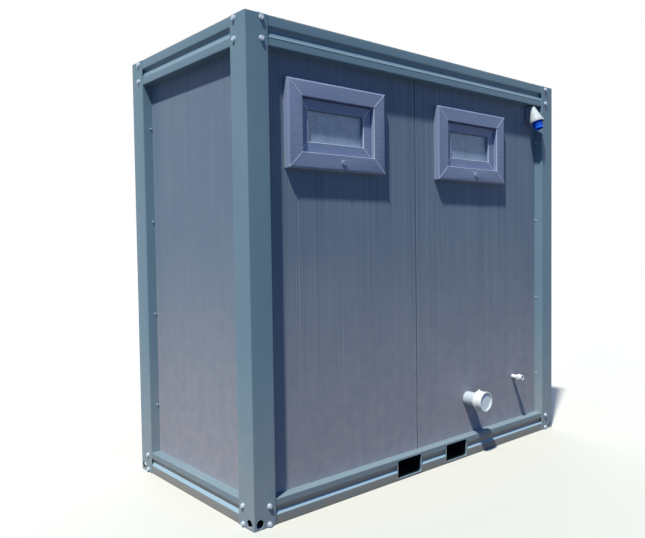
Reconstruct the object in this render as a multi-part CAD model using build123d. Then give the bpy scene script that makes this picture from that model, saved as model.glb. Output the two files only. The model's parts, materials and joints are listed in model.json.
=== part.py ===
from build123d import *
import os
from math import cos, floor, radians, sin

# A two-cabin sanitary container: a bolted steel frame with sandwich walls, two tilt windows on
# the service side and two outward doors on the other. Millimetres, +Z up, X along the long side,
# the window side faces -Y. The origin is on the ground, under the middle of the frame.
os.makedirs("parts", exist_ok=True)

# Frame and walls
length = 2680.0
width = 1240.0
height = 2500.0
post_face = 135.0
post_sheet = 4.0
post_bend = 6.0
wall_recess = 60.0
wall_thickness = 60.0
corner_hollow = 66.0
corner_plate = 6.0
beam_sheet = 3.0
beam_bend = 4.5
beam_lip = 22.0
floor_beam_height = 130.0
floor_upper_face = 35.0
floor_groove_depth = 14.0
floor_groove_fall = 25.0
floor_groove_floor = 5.0
floor_ledge_fall = 16.0
roof_beam_height = 145.0
roof_upper_face = 50.0
roof_groove_depth = 16.0
roof_undercut = 10.0
roof_groove_floor = 8.0
roof_groove_rise = 34.0
cut_overrun = 5.0

# Frame bolts and sheet screws
bolt_inset = 93.0
floor_bolt_heights = (16.0, 107.0)
roof_bolt_drops = (118.0, 19.0)
bolt_radius = 6.0
bolt_hole_play = 0.6
bolt_flange_radius = 13.0
bolt_flange_thickness = 3.0
bolt_head_radius = 10.5
bolt_head_height = 8.0
bolt_nut_height = 6.0
bolt_end = 2.0
crown_bolt_depth = 26.0
lashing_radius = 22.0
lashing_inset = 37.0
lashing_height = 30.0
screw_radius = 5.5
screw_height = 5.0
screw_edge = 15.0
long_screw_pitch = 207.0
short_screw_pitch = 151.0
return_screw_depth = 47.0
return_screw_pitch = 560.0
return_screw_start = 420.0

# Floor, roof and ceiling
fork_spacing = 440.0
fork_width = 206.0
fork_height = 105.0
fork_wall = 4.0
fork_corner = 16.0
fork_base = 8.0
member_width = 60.0
member_sheet = 3.0
member_height = 122.0
member_place_shares = (-0.66, -0.4, 0.0, 0.4, 0.66)
roof_bow_shares = (-0.6, -0.2, 0.2, 0.6)
deck_thickness = 22.0
roof_sheet_thickness = 1.5
roof_sheet_edge = 5.0
rib_width = 60.0
rib_height = 11.0
rib_pitch = 200.0
rib_end = 150.0
rib_slope = 40.0
ceiling_thickness = 60.0
partition_thickness = 40.0
seam_x = -90.0
seam_width = 4.0
seam_depth = 12.0

# Tilt windows
window_left_from_end = 610.0
window_right_from_seam = 518.0
window_drop = 349.0
window_width = 692.0
window_height = 452.0
window_proud = 40.0
window_edge = 9.0
window_cut_width = 600.0
window_cut_height = 366.0
window_cut_play = 2.0
window_opening_width = 514.0
window_opening_height = 286.0
window_stop = 8.0
window_rebate = 16.0
window_frame_depth = 48.0
window_trim = 25.0
window_trim_thickness = 4.0
sash_play = 5.0
sash_front_gap = 0.5
sash_flange = 7.0
sash_flange_play = 5.0
sash_flange_thickness = 12.0
sash_bevel = 10.0
sash_knuckle_radius = 4.5
sash_knuckle_length = 30.0
sash_pin_radius = 2.5
sash_pin_bite = 10.0
sash_pin_end_gap = 0.5
pane_width = 400.0
pane_height = 168.0
pane_bite = 6.0
pane_setback = 16.0
cap_radius = 15.0
cap_length = 20.0
cap_drop = 182.0
cap_shift = 22.0
cap_edge = 3.0
handle_boss_radius = 16.0
handle_boss_length = 6.0
handle_neck_radius = 9.0
handle_neck_length = 30.0
handle_grip_length = 112.0
handle_grip_width = 20.0
handle_grip_thickness = 12.0
handle_rise = 120.0

# Doors
door_right_from_seam = 650.0
door_side_wall = 175.0
door_head_wall = 225.0
leaf_thickness = 40.0
leaf_proud = 2.0
leaf_edge = 2.0
door_gap = 4.0
jamb_width = 34.0
jamb_cover = 16.0
jamb_cover_thickness = 4.0
sill_height = 26.0
stop_width = 15.0
stop_gap = 0.5
hinge_offset = 12.0
hinge_side_step = 2.0
knuckle_radius = 8.0
knuckle_length = 50.0
knuckle_gap = 0.5
hinge_pin_radius = 4.0
hinge_pin_play = 0.05
hinge_plate_width = 40.0
hinge_plate_thickness = 3.0
hinge_height_shares = (0.09, 0.5, 0.9)
lock_backset = 55.0
lever_height = 1050.0
turn_drop = 82.0
rosette_radius = 26.0
rosette_length = 7.0
lever_neck_radius = 9.0
lever_play = 0.4
lever_reach = 48.0
lever_bend = 16.0
lever_grip_length = 118.0
spindle_radius = 5.0
latch_width = 13.0
latch_height = 23.0
latch_length = 46.0
latch_throw = 11.0
latch_bevel = 7.0
latch_play = 0.5
latch_room = 4.0
bolt_bar_width = 12.0
bolt_bar_height = 30.0
bolt_bar_length = 40.0
bolt_bar_set_back = 1.0
keep_play = 2.0
keep_depth = 18.0
turn_radius = 19.0
turn_length = 9.0
turn_wing_length = 30.0
turn_wing_width = 6.0
turn_wing_depth = 14.0
indicator_slot_width = 5.0
indicator_slot_depth = 1.5

# Water closets
rim_height = 400.0
closet_depth = 620.0
closet_clear = 30.0
pan_radius_x = 180.0
pan_radius_y = 215.0
pan_front_gap = 5.0
foot_radius_x = 112.0
foot_radius_y = 190.0
foot_setback = 45.0
waist_radius_x = 118.0
waist_radius_y = 180.0
waist_height = 170.0
rim_depth = 45.0
bowl_rim_x = 134.0
bowl_rim_y = 168.0
bowl_mid_x = 112.0
bowl_mid_y = 138.0
bowl_mid_depth = 110.0
bowl_foot_x = 52.0
bowl_foot_y = 60.0
bowl_depth = 215.0
bowl_back_step = 40.0
shelf_width = 340.0
shelf_thickness = 60.0
trap_width = 150.0
trap_length = 190.0
cistern_width = 356.0
cistern_depth = 140.0
cistern_height = 330.0
cistern_corner = 22.0
cistern_lid_height = 26.0
cistern_lid_lap = 6.0
button_radius = 21.0
button_play = 0.6
button_height = 18.0
button_proud = 4.0
button_travel = 6.0
well_slack = 4.0
seat_thickness = 18.0
seat_gap = 2.0
seat_hole_x = 116.0
seat_hole_y = 146.0
seat_edge = 5.0
lid_thickness = 13.0
lid_gap = 2.0
lid_open_angle = 92.0
seat_hinge_radius = 8.0
seat_hinge_length = 26.0
seat_hinge_spacing = 150.0
seat_hinge_slack = 0.5
seat_axis_back = 40.0
seat_hinge_clear = 1.5
seat_hinge_pin_radius = 3.0
seat_post_width = 10.0

# Hand basins and taps
basin_top = 850.0
basin_reach = 250.0
basin_width = 330.0
basin_height = 120.0
basin_corner = 60.0
basin_wall = 16.0
basin_ledge = 68.0
basin_taper = 14.0
basin_left_y = 190.0
basin_right_y = 150.0
tap_radius = 20.0
tap_height = 74.0
tap_spout_radius = 10.0
tap_spout_length = 95.0
tap_spout_rise = 48.0
tap_inset = 34.0
push_radius = 16.0
push_height = 20.0
push_play = 0.5
push_travel = 8.0
push_proud = 12.0
waste_radius = 20.0
trap_radius = 30.0
trap_height = 90.0
trap_drop = 55.0
trap_arm_radius = 16.0

# Drain, water and power connections on the window side
drain_from_seam = 490.0
drain_z = 362.0
drain_reach = 154.0
drain_pipe_radius = 45.0
drain_pipe_wall = 3.0
drain_run_radius = 50.0
drain_socket_radius = 64.0
drain_socket_bore = 55.2
drain_socket_length = 62.0
drain_socket_depth = 52.0
drain_bead = 3.0
drain_bead_width = 14.0
drain_lug_width = 8.0
drain_lug_height = 7.0
drain_run_back = 70.0
pipe_hole_play = 2.0
water_from_end = 423.0
water_z = 433.0
water_reach = 85.0
water_pipe_radius = 14.0
water_union_radius = 22.0
water_union_length = 36.0
water_bore_radius = 12.1
water_bore_depth = 18.0
water_run_z = 640.0
water_run_back = 15.0
water_run_radius = 9.0
inlet_from_end = 222.0
inlet_drop = 126.0
inlet_reach = 76.0
inlet_tilt = 20.0
hood_length = 122.0
hood_mouth_radius = 50.0
hood_mouth_wall = 4.0
hood_mouth_depth = 12.0
hood_skirt = 16.0
hood_top_radius = 17.0
hood_base_width = 84.0
hood_base_height = 104.0
hood_base_rise = 8.0
hood_base_thickness = 24.0
collar_radius = 35.0
collar_step_radius = 30.0
collar_length = 48.0
collar_step_length = 24.0
collar_bore_radius = 23.0
collar_bore_depth = 52.0
collar_root = 14.0
pin_radius = 2.5
pin_circle_radius = 12.0
pin_length = 40.0
pin_count = 3

# Cabin lamps
lamp_radius = 105.0
lamp_height = 48.0
lamp_edge = 26.0

# Places worked out from the sizes above
front_y = -width / 2
back_y = width / 2
left_x = -length / 2
right_x = length / 2
wall_reach = wall_recess + wall_thickness
front_wall_y = front_y + wall_recess
front_room_y = front_y + wall_reach
back_wall_y = back_y - wall_recess
back_room_y = back_y - wall_reach
left_room_x = left_x + wall_reach
right_room_x = right_x - wall_reach
beam_depth = wall_reach - post_sheet
wall_top = height - roof_beam_height
deck_bottom = member_height
deck_top = deck_bottom + deck_thickness
ceiling_bottom = wall_top - ceiling_thickness
partition_left = seam_x - partition_thickness / 2
partition_right = seam_x + partition_thickness / 2
roof_sheet_top = height + roof_sheet_thickness
window_left_x = left_x + window_left_from_end
window_right_x = seam_x + window_right_from_seam
window_z = wall_top - window_drop
door_left_x = (left_room_x + partition_left) / 2
door_right_x = seam_x + door_right_from_seam
leaf_width = partition_left - left_room_x - 2 * door_side_wall
leaf_height = wall_top - door_head_wall - floor_beam_height - sill_height - door_gap
drain_x = seam_x + drain_from_seam
water_x = right_x - water_from_end
inlet_x = right_x - inlet_from_end


def block(x_span, y_span, z_span):
    """A box between two x values, two y values and two z values."""
    size = [span[1] - span[0] for span in (x_span, y_span, z_span)]
    middle = [(span[0] + span[1]) / 2 for span in (x_span, y_span, z_span)]
    return Pos(*middle) * Box(*size)


def centred(middle, size):
    """The span of a size about its middle."""
    return (middle - size / 2, middle + size / 2)


def prism(points, z_span):
    """A plan outline raised between two heights."""
    outline = make_face(Polyline(*points, close=True))
    return Pos(0, 0, z_span[0]) * extrude(outline, amount=z_span[1] - z_span[0])


def rod(start, direction, radius, run):
    """A cylinder from a start point along a direction."""
    place = Plane(origin=start, z_dir=direction)
    return place * Cylinder(radius, run, align=(Align.CENTER, Align.CENTER, Align.MIN))


def cone(start, direction, radius, end_radius, run):
    """A tapered round from a start point along a direction."""
    place = Plane(origin=start, z_dir=direction)
    return place * Cone(radius, end_radius, run, align=(Align.CENTER, Align.CENTER, Align.MIN))


def hexagon(start, direction, radius, run):
    """A hexagon bar from a start point along a direction."""
    place = Plane(origin=start, z_dir=direction)
    return place * extrude(RegularPolygon(radius, side_count=6), amount=run)


def oval(x, y, z, radius_x, radius_y):
    """A flat oval at a height, for lofts."""
    return Pos(x, y, z) * Ellipse(radius_x, radius_y)


def folded(points, sheet, bend):
    """The cross section of a folded sheet that follows an outer line."""
    line = FilletPolyline(*points, radius=bend)
    return make_face(offset(line, amount=sheet, side=Side.LEFT, closed=True))


def left_to_right(shape):
    """The same piece on the other end of the container."""
    return mirror(shape, about=Plane.YZ)


def front_to_back(shape):
    """The same piece on the other long side."""
    return mirror(shape, about=Plane.XZ)


def write(node, *pieces):
    """One file for a node, which may hold several separate solids."""
    solids = [solid for piece in pieces for solid in piece.solids()]
    whole = solids[0] if len(solids) == 1 else Compound(children=solids)
    export_step(whole, f"parts/{node}.step")


# Steel frame


def floor_beam_line():
    """Outer line of the rolled floor beam as (depth behind its face, height)."""
    shoulder = floor_beam_height - floor_upper_face
    groove_top = shoulder - floor_groove_fall
    groove_bottom = groove_top - floor_groove_floor
    return [
        (beam_depth, floor_beam_height - beam_lip),
        (beam_depth, floor_beam_height),
        (0, floor_beam_height),
        (0, shoulder),
        (floor_groove_depth, groove_top),
        (floor_groove_depth, groove_bottom),
        (0, groove_bottom - floor_ledge_fall),
        (0, 0),
        (beam_depth, 0),
        (beam_depth, beam_lip),
    ]


def roof_beam_line():
    """Outer line of the rolled roof beam as (depth behind its face, height)."""
    brow = height - roof_upper_face
    groove_top = brow - roof_undercut
    groove_bottom = groove_top - roof_groove_floor
    return [
        (beam_depth, height - beam_lip),
        (beam_depth, height),
        (0, height),
        (0, brow),
        (roof_groove_depth, groove_top),
        (roof_groove_depth, groove_bottom),
        (0, groove_bottom - roof_groove_rise),
        (0, wall_top),
        (beam_depth, wall_top),
        (beam_depth, wall_top + beam_lip),
    ]


def beam_plan(half_run, offset_y, z_span):
    """Room that one beam may fill: clear of the corner hollows and mitred behind them."""
    end = half_run - corner_hollow
    inner = half_run - wall_reach
    points = [
        (-end, -offset_y),
        (end, -offset_y),
        (end, corner_hollow - offset_y),
        (inner, wall_reach - offset_y),
        (-inner, wall_reach - offset_y),
        (-end, corner_hollow - offset_y),
    ]
    return prism(points, z_span)


def side_bolt_holes(half_run, offset_y, heights):
    """Drillings for the bolts that pass through a post face into a beam."""
    depth = post_sheet + beam_sheet + cut_overrun
    return [
        rod((side * (half_run - bolt_inset), -offset_y, z), (0, 1, 0), bolt_radius + bolt_hole_play, depth)
        for side in (-1, 1)
        for z in heights
    ]


def crown_bolt_holes(half_run, offset_y):
    """Drillings for the upright bolts in the roof beam's upper flange."""
    start = height - beam_sheet - cut_overrun
    run = beam_sheet + cut_overrun + roof_sheet_thickness + cut_overrun
    return [
        rod(
            (side * (half_run - bolt_inset), crown_bolt_depth - offset_y, start),
            (0, 0, 1),
            bolt_radius + bolt_hole_play,
            run,
        )
        for side in (-1, 1)
    ]


def floor_heights():
    return list(floor_bolt_heights)


def roof_heights():
    return [height - drop for drop in roof_bolt_drops]


def frame_beam(line, half_run, offset_y, z_span, heights):
    """One beam on the -Y side of a rectangle, with its bolt holes."""
    section = Plane.YZ * folded(line, beam_sheet, beam_bend)
    run = Pos(0, post_sheet - offset_y, 0) * extrude(section, amount=half_run, both=True)
    beam = run & beam_plan(half_run, offset_y, z_span)
    return beam - side_bolt_holes(half_run, offset_y, heights)


def floor_beam(half_run, offset_y):
    return frame_beam(floor_beam_line(), half_run, offset_y, (0, floor_beam_height), floor_heights())


def roof_beam(half_run, offset_y):
    beam = frame_beam(roof_beam_line(), half_run, offset_y, (wall_top, height), roof_heights())
    return beam - crown_bolt_holes(half_run, offset_y)


def fork_tube(x, wall):
    """Outside or inside of one fork pocket, which runs right across the floor frame."""
    tube_width = fork_width + 2 * wall
    tube_height = fork_height + 2 * wall
    corner = fork_corner + wall
    middle_z = fork_base + fork_wall + fork_height / 2
    section = RectangleRounded(tube_width, tube_height, corner)
    half_run = width / 2 - post_sheet
    return Pos(x, 0, middle_z) * extrude(Plane.XZ * section, amount=half_run, both=True)


def fork_centres():
    return [side * fork_spacing / 2 for side in (-1, 1)]


def fork_pockets():
    tubes = []
    for x in fork_centres():
        bore = scale(fork_tube(x, 0), by=(1, 1 + 2 * cut_overrun / width, 1))
        tubes.append(fork_tube(x, fork_wall) - bore)
    return tubes


def floor_beams_long():
    front = floor_beam(length / 2, width / 2)
    for x in fork_centres():
        front -= fork_tube(x, fork_wall)
    return [front, front_to_back(front)]


def floor_beams_short():
    left = Rot(0, 0, -90) * floor_beam(width / 2, length / 2)
    return [left, left_to_right(left)]


def roof_beams_long():
    front = roof_beam(length / 2, width / 2)
    return [front, front_to_back(front)]


def roof_beams_short():
    left = Rot(0, 0, -90) * roof_beam(width / 2, length / 2)
    return [left, left_to_right(left)]


def cross_channels(low, high, shares):
    """Channels between the long beams, open to one side, from one height to another."""
    line = [(member_width, low), (0, low), (0, high), (member_width, high)]
    section = offset(Polyline(*line), amount=member_sheet, side=Side.RIGHT, closed=True)
    bar = extrude(Plane.XZ * make_face(section), amount=back_room_y, both=True)
    return [Pos(share * length / 2 - member_width / 2, 0, 0) * bar for share in shares]


def cross_members():
    """Floor channels, the middle one over the origin, and roof bows under the sheet."""
    floor_set = cross_channels(0, member_height, member_place_shares)
    return floor_set + cross_channels(wall_top, height, roof_bow_shares)


def corner_post():
    """Front left post: folded L with a return to the wall at each edge, foot and head plates."""
    line = [
        (wall_recess, post_face),
        (0, post_face),
        (0, 0),
        (post_face, 0),
        (post_face, wall_recess),
    ]
    post = extrude(folded(line, post_sheet, post_bend), amount=height)
    reach = post_face + cut_overrun
    for low, high in ((0, floor_beam_height), (wall_top, height)):
        post -= block((post_sheet, reach), (post_sheet, wall_reach), (low, high))
        post -= block((post_sheet, wall_reach), (post_sheet, reach), (low, high))
    for low in (0, height - corner_plate):
        plate_span = (post_sheet, corner_hollow)
        post += block(plate_span, plate_span, (low, low + corner_plate))
    hole_depth = post_sheet + 2 * cut_overrun
    for z in floor_heights() + roof_heights():
        post -= rod((bolt_inset, -cut_overrun, z), (0, 1, 0), bolt_radius + bolt_hole_play, hole_depth)
        post -= rod((-cut_overrun, bolt_inset, z), (1, 0, 0), bolt_radius + bolt_hole_play, hole_depth)
    post -= rod((lashing_inset, -cut_overrun, lashing_height), (0, 1, 0), lashing_radius, hole_depth)
    post -= rod((-cut_overrun, lashing_inset, lashing_height), (1, 0, 0), lashing_radius, hole_depth)
    return Pos(left_x, front_y, 0) * post


def frame_bolt(seat, inward, stack):
    """Flanged bolt whose head seats on the outside and whose nut closes a stack of sheets."""
    outward = tuple(-part for part in inward)
    back = tuple(point + stack * part for point, part in zip(seat, inward))
    bolt = rod(seat, outward, bolt_flange_radius, bolt_flange_thickness)
    bolt += hexagon(seat, outward, bolt_head_radius, bolt_flange_thickness + bolt_head_height)
    bolt += rod(seat, inward, bolt_radius, stack + bolt_nut_height + bolt_end)
    bolt += hexagon(back, inward, bolt_head_radius, bolt_nut_height)
    return bolt


def frame_bolts():
    """Four bolts at each end of each post, and one upright bolt at each roof beam's end."""
    bolts = []
    stack = post_sheet + beam_sheet
    crown_stack = roof_sheet_thickness + beam_sheet
    along_x = length / 2 - bolt_inset
    along_y = width / 2 - bolt_inset
    for side in (-1, 1):
        for end in (-1, 1):
            for z in floor_heights() + roof_heights():
                bolts.append(frame_bolt((side * along_x, end * back_y, z), (0, -end, 0), stack))
                bolts.append(frame_bolt((side * right_x, end * along_y, z), (-side, 0, 0), stack))
            crown_y = end * (back_y - crown_bolt_depth)
            crown_x = side * (right_x - crown_bolt_depth)
            bolts.append(frame_bolt((side * along_x, crown_y, roof_sheet_top), (0, 0, -1), crown_stack))
            bolts.append(frame_bolt((crown_x, end * along_y, roof_sheet_top), (0, 0, -1), crown_stack))
    return bolts


def spread(span, pitch):
    """Evenly spaced places across a span, no further apart than the pitch."""
    count = floor((span[1] - span[0]) / pitch) + 1
    step = (span[1] - span[0]) / count
    return [span[0] + step * (index + 0.5) for index in range(count)]


def roof_screws():
    """Screws along the roof sheet's rim."""
    long_span = (left_x + post_face, right_x - post_face)
    short_span = (front_y + post_face, back_y - post_face)
    rim_y = back_y - screw_edge
    rim_x = right_x - screw_edge
    up = (0, 0, 1)
    screws = []
    for side in (-1, 1):
        for x in spread(long_span, long_screw_pitch):
            screws.append(hexagon((x, side * rim_y, roof_sheet_top), up, screw_radius, screw_height))
        for y in spread(short_span, short_screw_pitch):
            screws.append(hexagon((side * rim_x, y, roof_sheet_top), up, screw_radius, screw_height))
    return screws


def post_screws():
    """Screws through the posts' returns, next to the wall."""
    face_x = right_x - post_face
    face_y = back_y - post_face
    deep_x = right_x - return_screw_depth
    deep_y = back_y - return_screw_depth
    count = floor((wall_top - return_screw_start) / return_screw_pitch) + 1
    screws = []
    for side in (-1, 1):
        for end in (-1, 1):
            for index in range(count):
                z = return_screw_start + index * return_screw_pitch
                at_long = (side * face_x, end * deep_y, z)
                at_short = (side * deep_x, end * face_y, z)
                screws.append(hexagon(at_long, (-side, 0, 0), screw_radius, screw_height))
                screws.append(hexagon(at_short, (0, -end, 0), screw_radius, screw_height))
    return screws


# Floor, roof and walls


def floor_deck():
    return block((left_room_x, right_room_x), (front_room_y, back_room_y), (deck_bottom, deck_top))


def roof_sheet():
    """Flat sheet over the beams with pressed ribs across it."""
    half_x = right_x - roof_sheet_edge
    half_y = back_y - roof_sheet_edge
    sheet = block((-half_x, half_x), (-half_y, half_y), (height, roof_sheet_top))
    rib_length = width - 2 * rib_end
    for x in spread((left_room_x, right_room_x), rib_pitch):
        foot = Pos(x, 0, roof_sheet_top) * Rectangle(rib_width, rib_length)
        sheet += extrude(foot, amount=rib_height, taper=rib_slope)
    for hole in crown_bolt_holes(length / 2, width / 2):
        sheet -= hole
        sheet -= front_to_back(hole)
    for hole in crown_bolt_holes(width / 2, length / 2):
        at_left = Rot(0, 0, -90) * hole
        sheet -= at_left
        sheet -= left_to_right(at_left)
    return sheet


def ceiling_panel():
    return block((left_room_x, right_room_x), (front_room_y, back_room_y), (ceiling_bottom, wall_top))


def seam_rebate(wall_y, inward):
    """The shallow open joint between two panels, cut from the outer face."""
    y_ends = sorted((wall_y - inward * cut_overrun, wall_y + inward * seam_depth))
    return block(centred(seam_x, seam_width), y_ends, (floor_beam_height, wall_top))


def window_hole(x):
    return block(
        centred(x, window_cut_width),
        (front_wall_y - cut_overrun, front_room_y + cut_overrun),
        centred(window_z, window_cut_height),
    )


def wall_hole(x, z, radius):
    start = (x, front_wall_y - cut_overrun, z)
    return rod(start, (0, 1, 0), radius + pipe_hole_play, wall_thickness + 2 * cut_overrun)


def front_wall(x_span, window_x):
    wall = block(x_span, (front_wall_y, front_room_y), (floor_beam_height, wall_top))
    return wall - seam_rebate(front_wall_y, 1) - window_hole(window_x)


def front_wall_left():
    return front_wall((left_x + wall_recess, seam_x), window_left_x)


def front_wall_right():
    wall = front_wall((seam_x, right_x - wall_recess), window_right_x)
    wall -= wall_hole(drain_x, drain_z, drain_pipe_radius)
    return wall - wall_hole(water_x, water_z, water_pipe_radius)


def end_wall_left():
    return block(
        (left_x + wall_recess, left_room_x),
        (front_room_y, back_room_y),
        (floor_beam_height, wall_top),
    )


def doorway(x):
    """The hole that a door frame fills, open down to the floor beam."""
    opening = leaf_width + 2 * (door_gap + jamb_width)
    top = floor_beam_height + sill_height + leaf_height + 2 * door_gap + jamb_width
    y_span = (back_room_y - cut_overrun, back_wall_y + cut_overrun)
    return block(centred(x, opening), y_span, (floor_beam_height - cut_overrun, top))


def back_wall(x_span, door_x):
    wall = block(x_span, (back_room_y, back_wall_y), (floor_beam_height, wall_top))
    return wall - seam_rebate(back_wall_y, -1) - doorway(door_x)


def back_wall_left():
    return back_wall((left_x + wall_recess, seam_x), door_left_x)


def back_wall_right():
    return back_wall((seam_x, right_x - wall_recess), door_right_x)


def partition_wall():
    """Wall between the cabins, with room for the pipes at the window side."""
    wall = block(
        (partition_left, partition_right),
        (front_room_y, back_room_y),
        (deck_top, ceiling_bottom),
    )
    through = partition_thickness + 2 * cut_overrun
    for y, z, radius in (
        (front_room_y + drain_run_back, drain_z, drain_run_radius),
        (front_room_y + water_run_back, water_run_z, water_run_radius),
    ):
        start = (partition_left - cut_overrun, y, z)
        wall -= rod(start, (1, 0, 0), radius + pipe_hole_play, through)
    return wall


# Tilt windows


def frame_ring(x, z, outer, inner, y_span):
    """A rectangular ring about a window's middle."""
    body = block(centred(x, outer[0]), y_span, centred(z, outer[1]))
    hole_y = (y_span[0] - cut_overrun, y_span[1] + cut_overrun)
    return body - block(centred(x, inner[0]), hole_y, centred(z, inner[1]))


def grown(size, margin):
    """A width and height with the same margin added all round."""
    return (size[0] + 2 * margin, size[1] + 2 * margin)


def window_opening():
    return (window_opening_width, window_opening_height)


def window_rebate_size():
    return grown(window_opening(), window_rebate)


def sash_size():
    return grown(window_rebate_size(), -sash_play)


def sash_flange_size():
    return grown(window_rebate_size(), sash_flange)


def tilt_point(x):
    """A point on a sash's tilt axis, which runs along the flange's lower room-side edge."""
    return (x, front_room_y, window_z - sash_flange_size()[1] / 2)


def tilt_pin(x, side, radius, bite):
    """Rod on the tilt axis from one end of the sash's flange into the frame."""
    end = x + side * sash_flange_size()[0] / 2
    return rod(tilt_point(end), (side, 0, 0), radius, sash_flange_play + bite)


def sash_pivot(x, side):
    """Knuckle on the flange's lower corner with the pin that turns in the frame."""
    end = x + side * sash_flange_size()[0] / 2
    knuckle = rod(tilt_point(end), (-side, 0, 0), sash_knuckle_radius, sash_knuckle_length)
    return knuckle + tilt_pin(x, side, sash_pin_radius, sash_pin_bite)


def window_frame(x):
    """Wide outer frame, stop, rebate and pivot holes for the sash, inner trim and drain cap."""
    sleeve = (window_cut_width - 2 * window_cut_play, window_cut_height - 2 * window_cut_play)
    proud_y = front_wall_y - window_proud
    stop_y = front_wall_y + window_stop
    rear_y = front_wall_y + window_frame_depth
    room_y = front_room_y + window_trim_thickness
    face = frame_ring(x, window_z, (window_width, window_height), window_opening(), (proud_y, front_wall_y))
    rim = face.faces().sort_by(Axis.Y)[0].outer_wire().edges()
    face = chamfer(rim, window_edge)
    clear_ring = grown(sash_flange_size(), sash_flange_play)
    frame = face + frame_ring(x, window_z, sleeve, window_opening(), (front_wall_y, stop_y))
    frame += frame_ring(x, window_z, sleeve, window_rebate_size(), (stop_y, rear_y))
    frame += frame_ring(x, window_z, sleeve, clear_ring, (rear_y, front_room_y))
    frame += frame_ring(x, window_z, grown(sleeve, window_trim), clear_ring, (front_room_y, room_y))
    for side in (-1, 1):
        hole_radius = sash_pin_radius + hinge_pin_play
        frame -= tilt_pin(x, side, hole_radius, sash_pin_bite + sash_pin_end_gap)
    cap = rod((x + cap_shift, proud_y, window_z - cap_drop), (0, -1, 0), cap_radius, cap_length)
    cap = chamfer(cap.faces().sort_by(Axis.Y)[0].edges(), cap_edge)
    return frame + cap


def handle_z():
    return window_z + handle_rise


def window_sash(x):
    """Tilting sash with a sloped glazing edge, pivoted room-side flange and a handle boss."""
    front = front_wall_y + window_stop + sash_front_gap
    rear = front_wall_y + window_frame_depth + sash_front_gap
    inner = rear + sash_flange_thickness
    pane_front = front + pane_setback
    pane = (pane_width, pane_height)
    seat = grown(pane, pane_bite)
    ring = frame_ring(x, window_z, sash_size(), pane, (front, pane_front))
    lip = ring.faces().sort_by(Axis.Y)[0].inner_wires()[0].edges()
    ring = chamfer(lip, sash_bevel)
    ring += frame_ring(x, window_z, sash_size(), seat, (pane_front, rear))
    ring += frame_ring(x, window_z, sash_flange_size(), pane, (rear, inner))
    ring += sash_pivot(x, -1) + sash_pivot(x, 1)
    return ring + rod((x, inner, handle_z()), (0, 1, 0), handle_boss_radius, handle_boss_length)


def window_pane(x):
    """Double glazing unit held in the sash."""
    front = front_wall_y + window_stop + sash_front_gap + pane_setback
    rear = front_wall_y + window_frame_depth + sash_front_gap
    size = grown((pane_width, pane_height), pane_bite)
    return block(centred(x, size[0]), (front, rear), centred(window_z, size[1]))


def window_handle(x):
    """Turning handle on the sash's upper rail, drawn in the shut position."""
    seat = front_wall_y + window_frame_depth + sash_front_gap + sash_flange_thickness + handle_boss_length
    neck = rod((x, seat, handle_z()), (0, 1, 0), handle_neck_radius, handle_neck_length)
    grip_y = (seat + handle_neck_length - handle_grip_thickness, seat + handle_neck_length)
    grip = block(
        (x - handle_grip_width / 2, x + handle_grip_length),
        grip_y,
        centred(handle_z(), handle_grip_width),
    )
    grip = fillet(grip.edges().filter_by(Axis.Y), handle_grip_width / 2 - cap_edge)
    return neck + grip


# Doors, each built about x = 0 with its hinges on the left, then put in place


def leaf_bottom():
    return floor_beam_height + sill_height + door_gap


def leaf_outer_y():
    return back_wall_y + leaf_proud


def leaf_inner_y():
    return leaf_outer_y() - leaf_thickness


def lock_x():
    return leaf_width / 2 - lock_backset


def lever_z():
    return deck_top + lever_height


def turn_z():
    return lever_z() - turn_drop


def lock_y():
    return (leaf_outer_y() + leaf_inner_y()) / 2


def hinge_x():
    return -leaf_width / 2 - hinge_side_step


def hinge_y():
    return leaf_outer_y() + hinge_offset


def hinge_levels():
    return [leaf_bottom() + share * leaf_height for share in hinge_height_shares]


def lock_channel(x_span, bar_width, bar_height, z, play):
    """Straight channel for a latch or a bolt bar."""
    return block(x_span, centred(lock_y(), bar_width + 2 * play), centred(z, bar_height + 2 * play))


def door_frame():
    """Jambs, head and sill with covers on both wall faces and a stop for the leaf."""
    opening = (leaf_width + 2 * door_gap, leaf_bottom() - door_gap, leaf_bottom() + leaf_height + door_gap)
    outer_top = opening[2] + jamb_width
    wall_y = (back_room_y, back_wall_y)
    hole_y = (back_room_y - 2 * cut_overrun, back_wall_y + 2 * cut_overrun)
    outer = centred(0, opening[0] + 2 * jamb_width)
    cover = centred(0, opening[0] + 2 * (jamb_width + jamb_cover))
    outside_y = (back_wall_y, back_wall_y + jamb_cover_thickness)
    inside_y = (back_room_y - jamb_cover_thickness, back_room_y)
    frame = block(outer, wall_y, (floor_beam_height, outer_top))
    frame += block(cover, outside_y, (floor_beam_height, outer_top + jamb_cover))
    frame += block(cover, inside_y, (deck_top, outer_top + jamb_cover))
    frame -= block(centred(0, opening[0]), hole_y, opening[1:])
    stop_opening = (opening[0] - 2 * stop_width, opening[1] + stop_width, opening[2] - stop_width)
    stop = block(centred(0, opening[0]), (back_room_y, leaf_inner_y() - stop_gap), opening[1:])
    frame += stop - block(centred(0, stop_opening[0]), hole_y, stop_opening[1:])
    keep_x = (leaf_width / 2, leaf_width / 2 + door_gap + keep_depth)
    frame -= lock_channel(keep_x, latch_width, latch_height, lever_z(), keep_play)
    return frame - lock_channel(keep_x, bolt_bar_width, bolt_bar_height, turn_z(), keep_play)


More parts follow.
